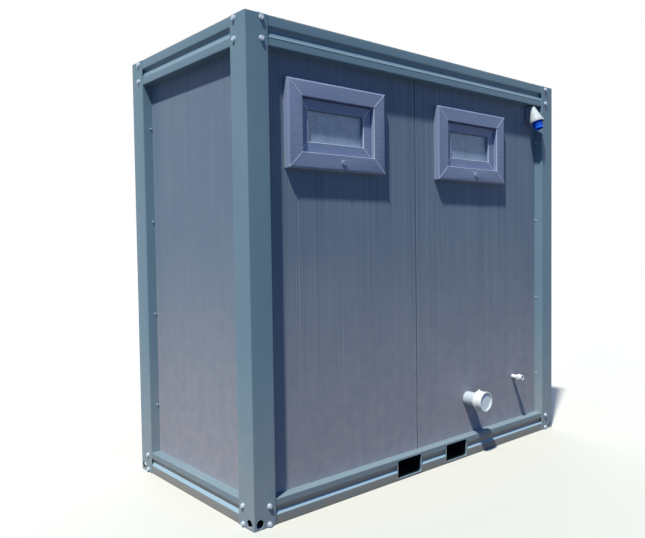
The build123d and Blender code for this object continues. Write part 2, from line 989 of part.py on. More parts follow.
def door_leaf():
    """Insulated leaf with its hinge halves, lock channels and round rosettes."""
    leaf = block(
        centred(0, leaf_width),
        (leaf_inner_y(), leaf_outer_y()),
        (leaf_bottom(), leaf_bottom() + leaf_height),
    )
    leaf = chamfer(leaf.faces().sort_by(Axis.Y)[-1].edges(), leaf_edge)
    rosette_run = leaf_thickness + 2 * rosette_length
    for z in (lever_z(), turn_z()):
        start = (lock_x(), leaf_inner_y() - rosette_length, z)
        leaf += rod(start, (0, 1, 0), rosette_radius, rosette_run)
    for z in (lever_z(), turn_z()):
        start = (lock_x(), leaf_inner_y() - rosette_length - cut_overrun, z)
        leaf -= rod(start, (0, 1, 0), lever_neck_radius + lever_play, rosette_run + 2 * cut_overrun)
    for bar, z in ((latch(), lever_z()), (bolt_bar(), turn_z())):
        box = bar.bounding_box()
        travel = latch_throw + latch_room if z == lever_z() else latch_room
        channel_x = (box.min.X - travel, leaf_width / 2 + cut_overrun)
        size = (box.max.Y - box.min.Y, box.max.Z - box.min.Z)
        leaf -= lock_channel(channel_x, size[0], size[1], z, latch_play)
    for z in hinge_levels():
        leaf += hinge_half(z + knuckle_gap, knuckle_length, 1)
        leaf -= rod(
            (hinge_x(), hinge_y(), z),
            (0, 0, 1),
            hinge_pin_radius + hinge_pin_play,
            knuckle_gap + knuckle_length + cut_overrun,
        )
    return leaf


def hinge_half(z, run, side):
    """A knuckle and its plate: side 1 lies on the leaf, side -1 on the frame's cover."""
    barrel = rod((hinge_x(), hinge_y(), z), (0, 0, 1), knuckle_radius, run)
    seat_y = leaf_outer_y() if side == 1 else back_wall_y + jamb_cover_thickness
    plate_x = sorted((hinge_x() + side * knuckle_gap, hinge_x() + side * hinge_plate_width))
    plate_y = (seat_y, hinge_y() - knuckle_radius + hinge_plate_thickness)
    return barrel + block(plate_x, plate_y, (z, z + run))


def hinge_fixed_halves():
    """Lower knuckles on the frame, each with the pin that the leaf's knuckle turns on."""
    halves = []
    for z in hinge_levels():
        half = hinge_half(z - knuckle_length, knuckle_length, -1)
        pin_run = 2 * knuckle_length + knuckle_gap
        pin_start = (hinge_x(), hinge_y(), z - knuckle_length)
        halves.append(half + rod(pin_start, (0, 0, 1), hinge_pin_radius, pin_run))
    return halves


def door_lever():
    """Inner and outer lever on one spindle; the grips point away from the lock edge."""
    spindle_run = leaf_thickness + 2 * rosette_length
    start_y = leaf_inner_y() - rosette_length
    lever = rod((lock_x(), start_y, lever_z()), (0, 1, 0), spindle_radius, spindle_run)
    for face_y, outward in ((leaf_outer_y(), 1), (leaf_inner_y(), -1)):
        grip_y = face_y + outward * (rosette_length + lever_reach)
        corner = (lock_x(), grip_y, lever_z())
        tip = (lock_x() - lever_grip_length, grip_y, lever_z())
        path = FilletPolyline((lock_x(), face_y, lever_z()), corner, tip, radius=lever_bend)
        section = Plane(origin=path @ 0, z_dir=path % 0) * Circle(lever_neck_radius)
        lever += sweep(section, path=path)
    return lever


def latch():
    """Sprung latch with a sloped nose, drawn thrown."""
    tip = leaf_width / 2 + latch_throw
    bar = block(
        (tip - latch_length, tip),
        centred(lock_y(), latch_width),
        centred(lever_z(), latch_height),
    )
    nose = bar.edges().filter_by(Axis.Z).sort_by(Axis.X)[-2:].sort_by(Axis.Y)[0]
    return chamfer(nose, latch_bevel)


def bolt_bar():
    """Privacy bolt, drawn back inside the leaf."""
    tip = leaf_width / 2 - bolt_bar_set_back
    return block(
        (tip - bolt_bar_length, tip),
        centred(lock_y(), bolt_bar_width),
        centred(turn_z(), bolt_bar_height),
    )


def door_turn():
    """Thumb turn inside and slotted disc outside, on one spindle."""
    run = leaf_thickness + 2 * rosette_length
    start_y = leaf_inner_y() - rosette_length
    turn = rod((lock_x(), start_y, turn_z()), (0, 1, 0), lever_neck_radius, run)
    inside = rod((lock_x(), start_y, turn_z()), (0, -1, 0), turn_radius, turn_length)
    wing_y = (start_y - turn_length - turn_wing_depth, start_y - turn_length)
    wing = block(centred(lock_x(), turn_wing_width), wing_y, centred(turn_z(), turn_wing_length))
    disc_y = leaf_outer_y() + rosette_length
    disc = rod((lock_x(), disc_y, turn_z()), (0, 1, 0), turn_radius, turn_length)
    slot_y = (disc_y + turn_length - indicator_slot_depth, disc_y + turn_length + cut_overrun)
    disc -= block(centred(lock_x(), indicator_slot_width), slot_y, centred(turn_z(), turn_wing_length))
    return turn + inside + wing + disc


def on_left_door(shape):
    return Pos(door_left_x, 0, 0) * shape


def on_right_door(shape):
    return Pos(door_right_x, 0, 0) * mirror(shape, about=Plane.YZ)


# Water closets, each built about x = 0 with its back to the window wall


def closet_back_y():
    return front_room_y + closet_clear


def rim_z():
    return deck_top + rim_height


def pan_y():
    return front_room_y + closet_depth - pan_front_gap - pan_radius_y


def trap_back_y():
    return front_room_y + drain_run_back + drain_run_radius + closet_clear


def toilet_pan():
    """Ceramic pan with an open bowl, a trap at the back and a shelf for the cistern."""
    foot_y = pan_y() - foot_setback
    outside = loft(
        [
            oval(0, foot_y, deck_top, foot_radius_x, foot_radius_y),
            oval(0, foot_y, deck_top + waist_height, waist_radius_x, waist_radius_y),
            oval(0, pan_y(), rim_z() - rim_depth, pan_radius_x, pan_radius_y),
        ]
    )
    rim = oval(0, pan_y(), rim_z() - rim_depth, pan_radius_x, pan_radius_y)
    pan = outside + extrude(rim, amount=rim_depth)
    shelf_y = (closet_back_y(), pan_y())
    pan += block(centred(0, shelf_width), shelf_y, (rim_z() - shelf_thickness, rim_z()))
    trap_y = (trap_back_y(), trap_back_y() + trap_length)
    pan += block(centred(0, trap_width), trap_y, (deck_top, rim_z() - shelf_thickness))
    top_bowl = oval(0, pan_y(), rim_z(), bowl_rim_x, bowl_rim_y)
    mid_bowl = oval(0, pan_y(), rim_z() - bowl_mid_depth, bowl_mid_x, bowl_mid_y)
    low_bowl = oval(0, pan_y() - bowl_back_step, rim_z() - bowl_depth, bowl_foot_x, bowl_foot_y)
    return pan - loft([top_bowl, mid_bowl]) - loft([mid_bowl, low_bowl])


def cistern():
    """Ceramic cistern with an overhanging lid and a well for the button."""
    y_span = (closet_back_y(), closet_back_y() + cistern_depth)
    lid_z = rim_z() + cistern_height
    tank = block(centred(0, cistern_width), y_span, (rim_z(), lid_z))
    tank = fillet(tank.edges().filter_by(Axis.Z), cistern_corner)
    cover_y = (y_span[0], y_span[1] + cistern_lid_lap)
    cover_x = centred(0, cistern_width + 2 * cistern_lid_lap)
    cover = block(cover_x, cover_y, (lid_z, lid_z + cistern_lid_height))
    cover = fillet(cover.edges().filter_by(Axis.Z), cistern_corner)
    middle_y = (y_span[0] + y_span[1]) / 2
    top = lid_z + cistern_lid_height
    depth = button_height - button_proud + button_travel + well_slack
    well_radius = button_radius + button_play
    return tank + cover - rod((0, middle_y, top - depth), (0, 0, 1), well_radius, depth + cut_overrun)


def flush_button():
    """Round push button in the cistern's well, drawn released."""
    middle_y = closet_back_y() + cistern_depth / 2
    top = rim_z() + cistern_height + cistern_lid_height + button_proud
    button = rod((0, middle_y, top - button_height), (0, 0, 1), button_radius, button_height)
    return chamfer(button.faces().sort_by(Axis.Z)[-1].edges(), cap_edge / 2)


def seat_axis_y():
    return closet_back_y() + cistern_depth + seat_axis_back


def seat_axis_z():
    return rim_z() + seat_gap + seat_thickness + lid_gap / 2


def hinge_round(x, run, radius):
    return rod((x - run / 2, seat_axis_y(), seat_axis_z()), (1, 0, 0), radius, run)


def lid_barrel_x():
    return seat_hinge_spacing / 2 - seat_hinge_length - seat_hinge_slack


def seat_like(hole, z_span):
    """An oval plate over the rim, cut straight in front of the hinge line."""
    plate = oval(0, pan_y(), z_span[0], pan_radius_x, pan_radius_y)
    shape = extrude(plate, amount=z_span[1] - z_span[0])
    if hole:
        opening = oval(0, pan_y(), z_span[0], seat_hole_x, seat_hole_y)
        shape -= extrude(opening, amount=z_span[1] - z_span[0])
    back = seat_axis_y() + seat_hinge_radius + seat_hinge_clear
    spare = block(
        centred(0, 2 * pan_radius_x),
        (pan_y() - 2 * pan_radius_y, back),
        (z_span[0] - cut_overrun, z_span[1] + cut_overrun),
    )
    return shape - spare


def toilet_seat():
    """Seat ring, lying on the rim, with its two hinge barrels."""
    low = rim_z() + seat_gap
    ring = seat_like(True, (low, low + seat_thickness))
    ring = fillet(ring.faces().sort_by(Axis.Z)[-1].edges().filter_by(GeomType.ELLIPSE), seat_edge)
    for side in (-1, 1):
        ring += hinge_arm(side * seat_hinge_spacing / 2, seat_hinge_length, (low, seat_axis_z()))
    return ring


def hinge_arm(x, run, z_span):
    """A barrel on the hinge line, bored for its pin, and the web that ties it to its plate."""
    tie_y = (seat_axis_y(), seat_axis_y() + 2 * (seat_hinge_radius + seat_hinge_clear))
    arm = hinge_round(x, run, seat_hinge_radius) + block(centred(x, run), tie_y, z_span)
    return arm - hinge_round(x, run, seat_hinge_pin_radius + hinge_pin_play)


def seat_hinge_posts():
    """Two round-topped posts on the shelf, each with the pin that the seat and the lid turn on."""
    outer = seat_hinge_spacing / 2 + seat_hinge_length / 2 + seat_hinge_slack
    inner = lid_barrel_x() - seat_hinge_length / 2
    post_y = centred(seat_axis_y(), 2 * seat_hinge_radius)
    posts = []
    for side in (-1, 1):
        post_x = sorted((side * outer, side * (outer + seat_post_width)))
        pin_x = side * (inner + outer + seat_post_width) / 2
        pin = hinge_round(pin_x, outer + seat_post_width - inner, seat_hinge_pin_radius)
        post = block(post_x, post_y, (rim_z(), seat_axis_z()))
        post += hinge_round(sum(post_x) / 2, seat_post_width, seat_hinge_radius)
        posts.append(post + pin)
    return posts


def toilet_lid():
    """Lid with its own barrels inside the seat's, drawn up against the cistern."""
    low = rim_z() + seat_gap + seat_thickness + lid_gap
    plate = seat_like(False, (low, low + lid_thickness))
    plate = fillet(plate.faces().sort_by(Axis.Z)[-1].edges().filter_by(GeomType.ELLIPSE), seat_edge)
    for side in (-1, 1):
        plate += hinge_arm(side * lid_barrel_x(), seat_hinge_length, (seat_axis_z(), low + lid_thickness))
    return plate.rotate(Axis((0, seat_axis_y(), seat_axis_z()), (1, 0, 0)), lid_open_angle)


# Hand basins, built with their back at x = 0, facing -X


def basin_z():
    return deck_top + basin_top


def hand_basin():
    """Wall-hung basin with a round front, a ledge for the tap and an open bowl."""
    outline = block((-basin_reach, 0), centred(0, basin_width), (basin_z() - basin_height, basin_z()))
    front_edges = outline.edges().filter_by(Axis.Z).sort_by(Axis.X)[:2]
    body = fillet(front_edges, basin_corner)
    lower = body.faces().sort_by(Axis.Z)[0].edges().sort_by(Axis.X)[:-1]
    body = chamfer(lower, basin_taper)
    bowl = block(
        (basin_wall - basin_reach, -basin_ledge),
        centred(0, basin_width - 2 * basin_wall),
        (basin_z() - basin_height + 2 * basin_wall, basin_z()),
    )
    bowl = fillet(bowl.edges().filter_by(Axis.Z), basin_corner - basin_wall)
    body -= bowl
    waste = rod((basin_waste_x(), 0, basin_z() - basin_height), (0, 0, 1), waste_radius, basin_height)
    return body - waste


def basin_waste_x():
    return -(basin_reach - basin_wall + basin_ledge) / 2


def tap_x():
    return -tap_inset


def basin_tap():
    """Tap column with a spout over the bowl and a well for its push top."""
    column = rod((tap_x(), 0, basin_z()), (0, 0, 1), tap_radius, tap_height)
    spout_start = (tap_x(), 0, basin_z() + tap_spout_rise)
    column += rod(spout_start, (-1, 0, 0), tap_spout_radius, tap_spout_length)
    depth = push_height - push_proud + push_travel + well_slack
    well_start = (tap_x(), 0, basin_z() + tap_height - depth)
    return column - rod(well_start, (0, 0, 1), push_radius + push_play, depth + cut_overrun)


def basin_trap():
    """Bottle trap under the basin with an arm back to the wall."""
    top = basin_z() - basin_height
    pipe = rod((basin_waste_x(), 0, top - trap_drop), (0, 0, 1), trap_arm_radius, trap_drop)
    bottle_base = (basin_waste_x(), 0, top - trap_drop - trap_height)
    pipe += rod(bottle_base, (0, 0, 1), trap_radius, trap_height)
    arm = (basin_waste_x(), 0, top - trap_drop - trap_height / 2)
    return pipe + rod(arm, (1, 0, 0), trap_arm_radius, -basin_waste_x())


def tap_push():
    """Push top of a self-closing tap, drawn released."""
    top = basin_z() + tap_height + push_proud
    push = rod((tap_x(), 0, top - push_height), (0, 0, 1), push_radius, push_height)
    return chamfer(push.faces().sort_by(Axis.Z)[-1].edges(), cap_edge / 2)


def in_left_cabin(shape):
    return Pos(partition_left, basin_left_y, 0) * shape


def in_right_cabin(shape):
    return Pos(right_room_x, basin_right_y, 0) * shape


# Drain, water and power


def drain_socket():
    """Reducing socket outside the wall on a pipe that passes through it."""
    front = front_wall_y - drain_reach
    outward = (0, -1, 0)
    pipe_run = front_room_y - front - drain_socket_length
    body = rod((drain_x, front_room_y, drain_z), outward, drain_pipe_radius, pipe_run)
    root_y = front + drain_socket_length
    socket_radius = drain_socket_radius - drain_bead
    body += rod((drain_x, root_y, drain_z), outward, socket_radius, drain_socket_length)
    for bead_y in (front + drain_bead_width, root_y):
        body += rod((drain_x, bead_y, drain_z), outward, drain_socket_radius, drain_bead_width)
    lug_y = (front + drain_socket_length - drain_lug_width, front + drain_socket_length)
    lug_z = centred(drain_z, 2 * (drain_socket_radius + drain_lug_height))
    body += block(centred(drain_x, drain_lug_width), lug_y, lug_z)
    body -= rod((drain_x, front, drain_z), (0, 1, 0), drain_socket_bore, drain_socket_depth)
    inner = drain_pipe_radius - drain_pipe_wall
    return body - rod((drain_x, front, drain_z), (0, 1, 0), inner, front_room_y - front)


def drain_run():
    """Waste pipe behind both pans, from the left pan to the outlet."""
    run_y = front_room_y + drain_run_back
    inner = drain_pipe_radius - drain_pipe_wall
    run_inner = drain_run_radius - drain_pipe_wall
    start_x = window_left_x - drain_run_radius
    span = drain_x - window_left_x + 2 * drain_run_radius
    run = rod((start_x, run_y, drain_z), (1, 0, 0), drain_run_radius, span)
    hollow = rod((start_x + drain_pipe_wall, run_y, drain_z), (1, 0, 0), run_inner, span - 2 * drain_pipe_wall)
    branches = (
        (window_left_x, run_y, trap_back_y() - run_y),
        (drain_x, run_y, trap_back_y() - run_y),
        (drain_x, front_room_y, drain_run_back),
    )
    for x, y, reach in branches:
        run += rod((x, y, drain_z), (0, 1, 0), drain_pipe_radius, reach)
        hollow += rod((x, y, drain_z), (0, 1, 0), inner, reach)
    return run - hollow


def water_inlet():
    """Threaded union on a plastic pipe through the wall."""
    front = front_wall_y - water_reach
    outward = (0, -1, 0)
    inner_y = front_room_y + water_run_back + water_pipe_radius
    pipe_run = inner_y - front - water_union_length
    body = rod((water_x, inner_y, water_z), outward, water_pipe_radius, pipe_run)
    root = (water_x, front + water_union_length, water_z)
    body += hexagon(root, outward, water_union_radius, water_union_length / 2)
    body += rod(root, outward, water_union_radius - cap_edge, water_union_length)
    return body - rod((water_x, front, water_z), (0, 1, 0), water_bore_radius, water_bore_depth)


def water_run():
    """Riser over the wall pipe and the line that feeds both cisterns."""
    y = front_room_y + water_run_back
    rise = water_run_z - water_z - water_pipe_radius
    run = rod((water_x, y, water_z + water_pipe_radius), (0, 0, 1), water_run_radius, rise)
    line = water_x - window_left_x + 2 * water_run_radius
    run += rod((water_x + water_run_radius, y, water_run_z), (-1, 0, 0), water_run_radius, line)
    for x in (window_left_x, drain_x):
        run += rod((x, y, water_run_z), (0, 1, 0), water_run_radius, closet_clear - water_run_back)
    return run


def inlet_direction():
    tilt = radians(inlet_tilt)
    return (0, -sin(tilt), -cos(tilt))


def inlet_mouth():
    return (inlet_x, front_wall_y - inlet_reach, wall_top - inlet_drop)


def along_inlet(distance):
    """A point on the inlet's axis, measured back from its mouth."""
    return tuple(point - distance * part for point, part in zip(inlet_mouth(), inlet_direction()))


def power_inlet_hood():
    """Grey hood that narrows to the top, on a base that carries it off the wall."""
    hood = rod(along_inlet(hood_skirt), inlet_direction(), hood_mouth_radius, hood_skirt)
    taper = cone(
        along_inlet(hood_skirt),
        tuple(-part for part in inlet_direction()),
        hood_mouth_radius - cap_edge,
        hood_top_radius,
        hood_length - hood_skirt,
    )
    hood += taper
    base_z = inlet_mouth()[2] + hood_base_rise
    base_y = (front_wall_y - hood_base_thickness, front_wall_y)
    hood += block(centred(inlet_x, hood_base_width), base_y, (base_z, base_z + hood_base_height))
    recess = hood_mouth_radius - hood_mouth_wall
    hood -= rod(along_inlet(hood_mouth_depth), inlet_direction(), recess, hood_mouth_depth + cut_overrun)
    seat = along_inlet(hood_mouth_depth + collar_root)
    return hood - rod(seat, inlet_direction(), collar_radius, collar_root + cut_overrun)


def power_inlet_collar():
    """Blue collar round three contact pins, seated in the hood."""
    root = hood_mouth_depth + collar_root
    run = root + collar_length
    collar = rod(along_inlet(root), inlet_direction(), collar_step_radius, run)
    collar += rod(along_inlet(root), inlet_direction(), collar_radius, run - collar_step_length)
    bore_start = collar_bore_depth - collar_length
    collar -= rod(along_inlet(bore_start), inlet_direction(), collar_bore_radius, collar_bore_depth)
    place = Plane(origin=along_inlet(bore_start), x_dir=(1, 0, 0), z_dir=inlet_direction())
    pins = PolarLocations(pin_circle_radius, pin_count)
    upright = (Align.CENTER, Align.CENTER, Align.MIN)
    for pin_place in pins:
        collar += place * pin_place * Cylinder(pin_radius, pin_length, align=upright)
    return collar


def cabin_lamp(x):
    """Round lamp under the ceiling."""
    lamp = rod((x, 0, ceiling_bottom - lamp_height), (0, 0, 1), lamp_radius, lamp_height)
    return fillet(lamp.faces().sort_by(Axis.Z)[0].edges(), lamp_edge)


def cabin_middles():
    return ((left_room_x + partition_left) / 2, (partition_right + right_room_x) / 2)


# Files


def write_frame():
    front_left = corner_post()
    front_right = left_to_right(front_left)
    write("corner_post_front_left", front_left)
    write("corner_post_front_right", front_right)
    write("corner_post_back_left", front_to_back(front_left))
    write("corner_post_back_right", front_to_back(front_right))
    write("floor_beams_long", *floor_beams_long())
    write("floor_beams_short", *floor_beams_short())
    write("roof_beams_long", *roof_beams_long())
    write("roof_beams_short", *roof_beams_short())
    write("fork_pockets", *fork_pockets())
    write("cross_members", *cross_members())
    write("frame_bolts", *frame_bolts())
    write("sheet_screws", *roof_screws(), *post_screws())


def write_shell():
    end_wall = end_wall_left()
    write("floor_deck", floor_deck())
    write("roof_sheet", roof_sheet())
    write("ceiling_panel", ceiling_panel())
    write("front_wall_left", front_wall_left())
    write("front_wall_right", front_wall_right())
    write("end_wall_left", end_wall)
    write("end_wall_right", left_to_right(end_wall))
    write("back_wall_left", back_wall_left())
    write("back_wall_right", back_wall_right())
    write("partition_wall", partition_wall())


def write_windows():
    for side, x in (("left", window_left_x), ("right", window_right_x)):
        write(f"window_frame_{side}", window_frame(x))
        write(f"window_sash_{side}", window_sash(x))
        write(f"window_pane_{side}", window_pane(x))
        write(f"window_handle_{side}", window_handle(x))


def write_doors():
    pieces = {
        "door_frame": door_frame(),
        "door_leaf": door_leaf(),
        "door_lever": door_lever(),
        "door_latch": latch(),
        "door_turn": door_turn(),
        "door_bolt": bolt_bar(),
    }
    for name, shape in pieces.items():
        write(f"{name}_left", on_left_door(shape))
        write(f"{name}_right", on_right_door(shape))
    halves = hinge_fixed_halves()
    write("door_hinges", *map(on_left_door, halves), *map(on_right_door, halves))


def write_fittings():
    for side, x in (("left", window_left_x), ("right", drain_x)):
        place = Pos(x, 0, 0)
        posts = [place * post for post in seat_hinge_posts()]
        write(f"toilet_pan_{side}", place * toilet_pan(), place * cistern(), *posts)
        write(f"toilet_seat_{side}", place * toilet_seat())
        write(f"toilet_lid_{side}", place * toilet_lid())
        write(f"flush_button_{side}", place * flush_button())
    basin = hand_basin()
    chrome = (basin_tap(), basin_trap())
    write("hand_basins", in_left_cabin(basin), in_right_cabin(basin))
    write("basin_taps", *map(in_left_cabin, chrome), *map(in_right_cabin, chrome))
    write("tap_push_left", in_left_cabin(tap_push()))
    write("tap_push_right", in_right_cabin(tap_push()))
    write("drain_pipe", drain_socket(), drain_run())
    write("water_pipe", water_inlet(), water_run())
    write("power_inlet_hood", power_inlet_hood())
    write("power_inlet_collar", power_inlet_collar())
    write("cabin_lamps", *[cabin_lamp(x) for x in cabin_middles()])


write_frame()
write_shell()
write_windows()
write_doors()
write_fittings()
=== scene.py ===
import json
import math

import bmesh
import bpy
from bpy.props import FloatProperty, FloatVectorProperty, IntProperty, PointerProperty
from mathutils import Matrix, Vector

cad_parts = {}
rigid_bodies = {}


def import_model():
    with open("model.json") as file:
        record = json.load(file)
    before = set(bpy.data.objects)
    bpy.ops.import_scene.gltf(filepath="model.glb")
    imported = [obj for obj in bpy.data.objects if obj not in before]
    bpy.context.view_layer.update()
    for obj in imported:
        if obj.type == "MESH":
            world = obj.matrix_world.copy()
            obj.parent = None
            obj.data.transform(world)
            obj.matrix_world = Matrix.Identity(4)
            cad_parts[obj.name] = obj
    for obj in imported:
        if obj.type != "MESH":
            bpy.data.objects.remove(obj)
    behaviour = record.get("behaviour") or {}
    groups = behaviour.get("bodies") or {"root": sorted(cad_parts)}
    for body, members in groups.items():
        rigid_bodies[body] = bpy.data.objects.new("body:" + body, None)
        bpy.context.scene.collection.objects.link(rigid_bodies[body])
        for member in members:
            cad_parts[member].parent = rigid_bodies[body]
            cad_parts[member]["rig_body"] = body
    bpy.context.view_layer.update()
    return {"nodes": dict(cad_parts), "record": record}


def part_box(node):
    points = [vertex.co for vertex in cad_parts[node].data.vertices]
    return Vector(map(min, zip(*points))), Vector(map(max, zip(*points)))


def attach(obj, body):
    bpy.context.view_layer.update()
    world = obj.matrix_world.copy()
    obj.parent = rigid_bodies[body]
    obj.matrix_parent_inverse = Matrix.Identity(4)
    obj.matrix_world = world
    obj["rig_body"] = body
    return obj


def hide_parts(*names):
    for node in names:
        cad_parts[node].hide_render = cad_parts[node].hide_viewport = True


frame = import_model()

bl_info = {
    "name": "Sanitary cabin finish",
    "version": (1, 0, 0),
    "blender": (4, 5, 0),
    "location": "3D View > Sidebar > Cabin",
    "description": "Paints and details a two-cabin sanitary container and sets its studio stage",
    "category": "Object",
}

MM = 0.001
SIDES = ("left", "right")
CABIN = "container"

# One point, a flat face, a smooth curve and a corner to soften
MERGE_DISTANCE = 0.02 * MM
FLAT_ANGLE = math.radians(0.6)
SMOOTH_ANGLE = math.radians(35)
CORNER_ANGLE = math.radians(30)

# Steel frame, with the heights of a floor beam's dusty groove and of its slope, which carries a painted sky
# reflection
FOLD_SOFTNESS = 0.8 * MM
# radius of the painted highlight beads on the roof folds and window edges
HIGHLIGHT_BEAD = 1.6 * MM
ROOF_FOLD_DROP = 102 * MM
POST_HOLLOW = 40 * MM
WELD_RADIUS = 1.3 * MM
POCKET_WALL = 8 * MM
POCKET_MOUTH = 12 * MM
GROOVE_TOP = 95 * MM
SLOPE_TOP = 65 * MM
SLOPE_FALL = 16 * MM

# Walls
JOINT_HALF = 2.5 * MM
UPSTAND_TOP = 0.22

# Windows: sizes are width and height
PROFILE_SOFTNESS = 2.2 * MM
FRAME_OPENING = (514 * MM, 286 * MM)
FRAME_PROUD = 40 * MM
FRAME_EDGE = 4 * MM
SASH_FACE = (508 * MM, 276 * MM)
SASH_RAIL = 54 * MM
SASH_OPENING = tuple(size - 2 * SASH_RAIL for size in SASH_FACE)
SASH_FACE_PROUD = 21.5 * MM
GLASS_THICKNESS = 3 * MM
HIGHLIGHT_SHARE = 0.97
CAP_PRESS = 0.4
CAP_EDGE = 1.5 * MM

# Doors: the grille's shares of the leaf's height, of its width and of its own half width
LEAF_WIDTH = 760 * MM
LEAF_THICKNESS = 40 * MM
LEAF_PROUD = 2 * MM
GRILLE_FOOT = 0.09
GRILLE_HALF = 0.26
GRILLE_TALL = 1.1
GRILLE_RIM = 14 * MM
GRILLE_DEPTH = 6 * MM
LOUVRE_PITCH = 16 * MM
LOUVRE_HALF = 1 * MM
LOUVRE_SLOPE = math.radians(28)

# Drain, water pipe and power inlet
PLUG_PLAY = 0.4 * MM
PLUG_INSET = 5 * MM
PLUG_DEPTH = 6 * MM
PLUG_RING = 0.84
PLUG_BEAD = 1.5 * MM
DRAIN_SEAL = 45 * MM
WATER_SEAL = 14 * MM
SEAL_BEAD = 3 * MM
PIPE_TINT_EDGE = -0.65
PIPE_TINT_FADE = 5 * MM
HOOD_PLATE = -0.585

# Mirrors, paper rolls and coat hooks
MIRROR_WIDTH = 360 * MM
MIRROR_HEIGHT = 520 * MM
MIRROR_FOOT = 1.25
MIRROR_THICKNESS = 4 * MM
CLIP_RADIUS = 9 * MM
ROLL_PLACE = 0.14
ROLL_HEIGHT = 0.78
ROLL_RADIUS = 55 * MM
ROLL_CORE = 20 * MM
ROLL_WIDTH = 98 * MM
ROLL_REACH = 75 * MM
ARM_RADIUS = 4 * MM
ARM_SPARE = 10 * MM
ARM_PLATE = 22 * MM
ARM_PLATE_DEPTH = 5 * MM
RAIL_WIDTH = 130 * MM
RAIL_TALL = 34 * MM
RAIL_DEPTH = 8 * MM
RAIL_HEIGHT = 1.72
RAIL_PLACE = 0.65
HOOK_REACH = 46 * MM
HOOK_RISE = 0.25
HOOK_ROOT = 5 * MM
HOOK_END = 4 * MM
HOOK_KNOB = 9 * MM

# Studio
KEY_DIRECTION = (2.0, 1.0, -4.1)
KEY_SPREAD = 2.5
BACK_DIRECTION = (-1.0, -2.0, -1.8)
BACK_SPREAD = 60.0
FLOOR_REACH = 40.0
SKY_LOW = (0.14, 0.47, 1.0, 1.0)
SKY_HIGH = (0.07, 0.36, 1.0, 1.0)
SKY_TURN = 0.55
WHITE = (1.0, 1.0, 1.0, 1.0)


def paint(red, green, blue):
    """A screen colour, 0 to 255, as the linear colour that the shaders take."""
    screen = [value / 255 for value in (red, green, blue)]
    return tuple(v / 12.92 if v <= 0.04045 else ((v + 0.055) / 1.055) ** 2.4 for v in screen)


def colour_property(name, description, default):
    return FloatVectorProperty(
        name=name, description=description, subtype="COLOR", min=0.0, max=1.0, default=default
    )


def length_property(name, description, default):
    return FloatProperty(name=name, description=description, unit="LENGTH", min=0.0, default=default)


def angle_property(name, description, degrees):
    return FloatProperty(name=name, description=description, unit="ROTATION", default=math.radians(degrees))


def strength_property(name, description, default):
    return FloatProperty(name=name, description=description, min=0.0, default=default)


class CabinColours(bpy.types.PropertyGroup):
    """Colours of the paints and plastics."""

    frame: colour_property("Frame paint", "Paint of the posts and beams", paint(112, 141, 162))
    panel: colour_property("Panel paint", "Coating on the outer side of the walls", paint(114, 132, 156))
    lining: colour_property("Lining", "Coating on the inner side of the walls", paint(226, 227, 224))
    floor: colour_property("Floor", "Covering of the cabin floor", paint(104, 108, 112))
    window: colour_property("Window profile", "Foil on the window frames", paint(126, 142, 180))
    zinc: colour_property("Zinc", "Plating of bolts and screws", paint(214, 226, 242))
    steel: colour_property("Bare steel", "Handles, hinges and locks", paint(176, 177, 178))
    ceramic: colour_property("Ceramic", "Glaze of the pans and basins", paint(238, 238, 234))
    pipe: colour_property("Pipe plastic", "Drain and water pipe", paint(226, 231, 236))
    hood: colour_property("Inlet hood", "Grey housing of the power inlet", paint(196, 204, 216))
    collar: colour_property("Inlet collar", "Blue collar round the contacts", paint(22, 98, 236))


class CabinPanels(bpy.types.PropertyGroup):
    """Shallow lines rolled into the outer skins."""

    pitch: length_property("Line pitch", "Distance between fine lines", 20 * MM)
    every: IntProperty(name="Strong every", description="Every n-th line is a deeper one", min=1, default=5)
    fine_width: length_property("Fine width", "Width of a fine line", 4.0 * MM)
    strong_width: length_property("Strong width", "Width of a deeper line", 5.0 * MM)
    depth: length_property("Depth", "Depth of a deeper line", 0.8 * MM)


class CabinWindows(bpy.types.PropertyGroup):
    """Weld lines and seals of the two windows."""

    weld_width: length_property("Weld width", "Width of the mitre welds", 3.0 * MM)
    weld_height: length_property("Weld height", "Height of the mitre welds", 0.8 * MM)
    seal_width: length_property("Seal width", "Visible width of the seals", 3.0 * MM)
    sealant: length_property("Sealant", "Bead between frame and wall", 5.0 * MM)


class CabinStage(bpy.types.PropertyGroup):
    """Camera, lamps and floor."""

    camera_place: FloatVectorProperty(
        name="Camera", description="Place of the camera", subtype="XYZ", unit="LENGTH",
        default=(-3.0885, -3.2265, 1.4022),
    )
    turn: angle_property("Turn", "From +Y towards +X", 40.23)
    tilt: angle_property("Tilt", "Up from level", -2.351)
    roll: angle_property("Roll", "About the view axis", -0.793)
    lens: FloatProperty(name="Lens", description="Focal length in millimetres", min=1.0, default=36.61)
    key: strength_property("Key lamp", "Strength of the key lamp", 4.9)
    key_colour: colour_property("Key colour", "Warm light of the key lamp", (1.0, 0.97, 0.82))
    back: strength_property("Back lamp", "Strength of the soft lamp behind", 0.9)
    sky: strength_property("Fill", "Strength of the soft light all round", 0.34)
    floor: colour_property("Floor", "Colour of the studio floor as it is seen", paint(204, 204, 202))
    floor_bounce: strength_property("Floor bounce", "How much light the floor throws back", 0.07)


# Materials


def add_node(tree, kind, inputs=(), **settings):
    """A node with its settings, whose inputs are linked or set in order of (name, value)."""
    node = tree.nodes.new(kind)
    for name, value in settings.items():
        setattr(node, name, value)
    for name, value in inputs:
        if isinstance(value, bpy.types.NodeSocket):
            tree.links.new(value, node.inputs[name])
        else:
            node.inputs[name].default_value = value
    return node


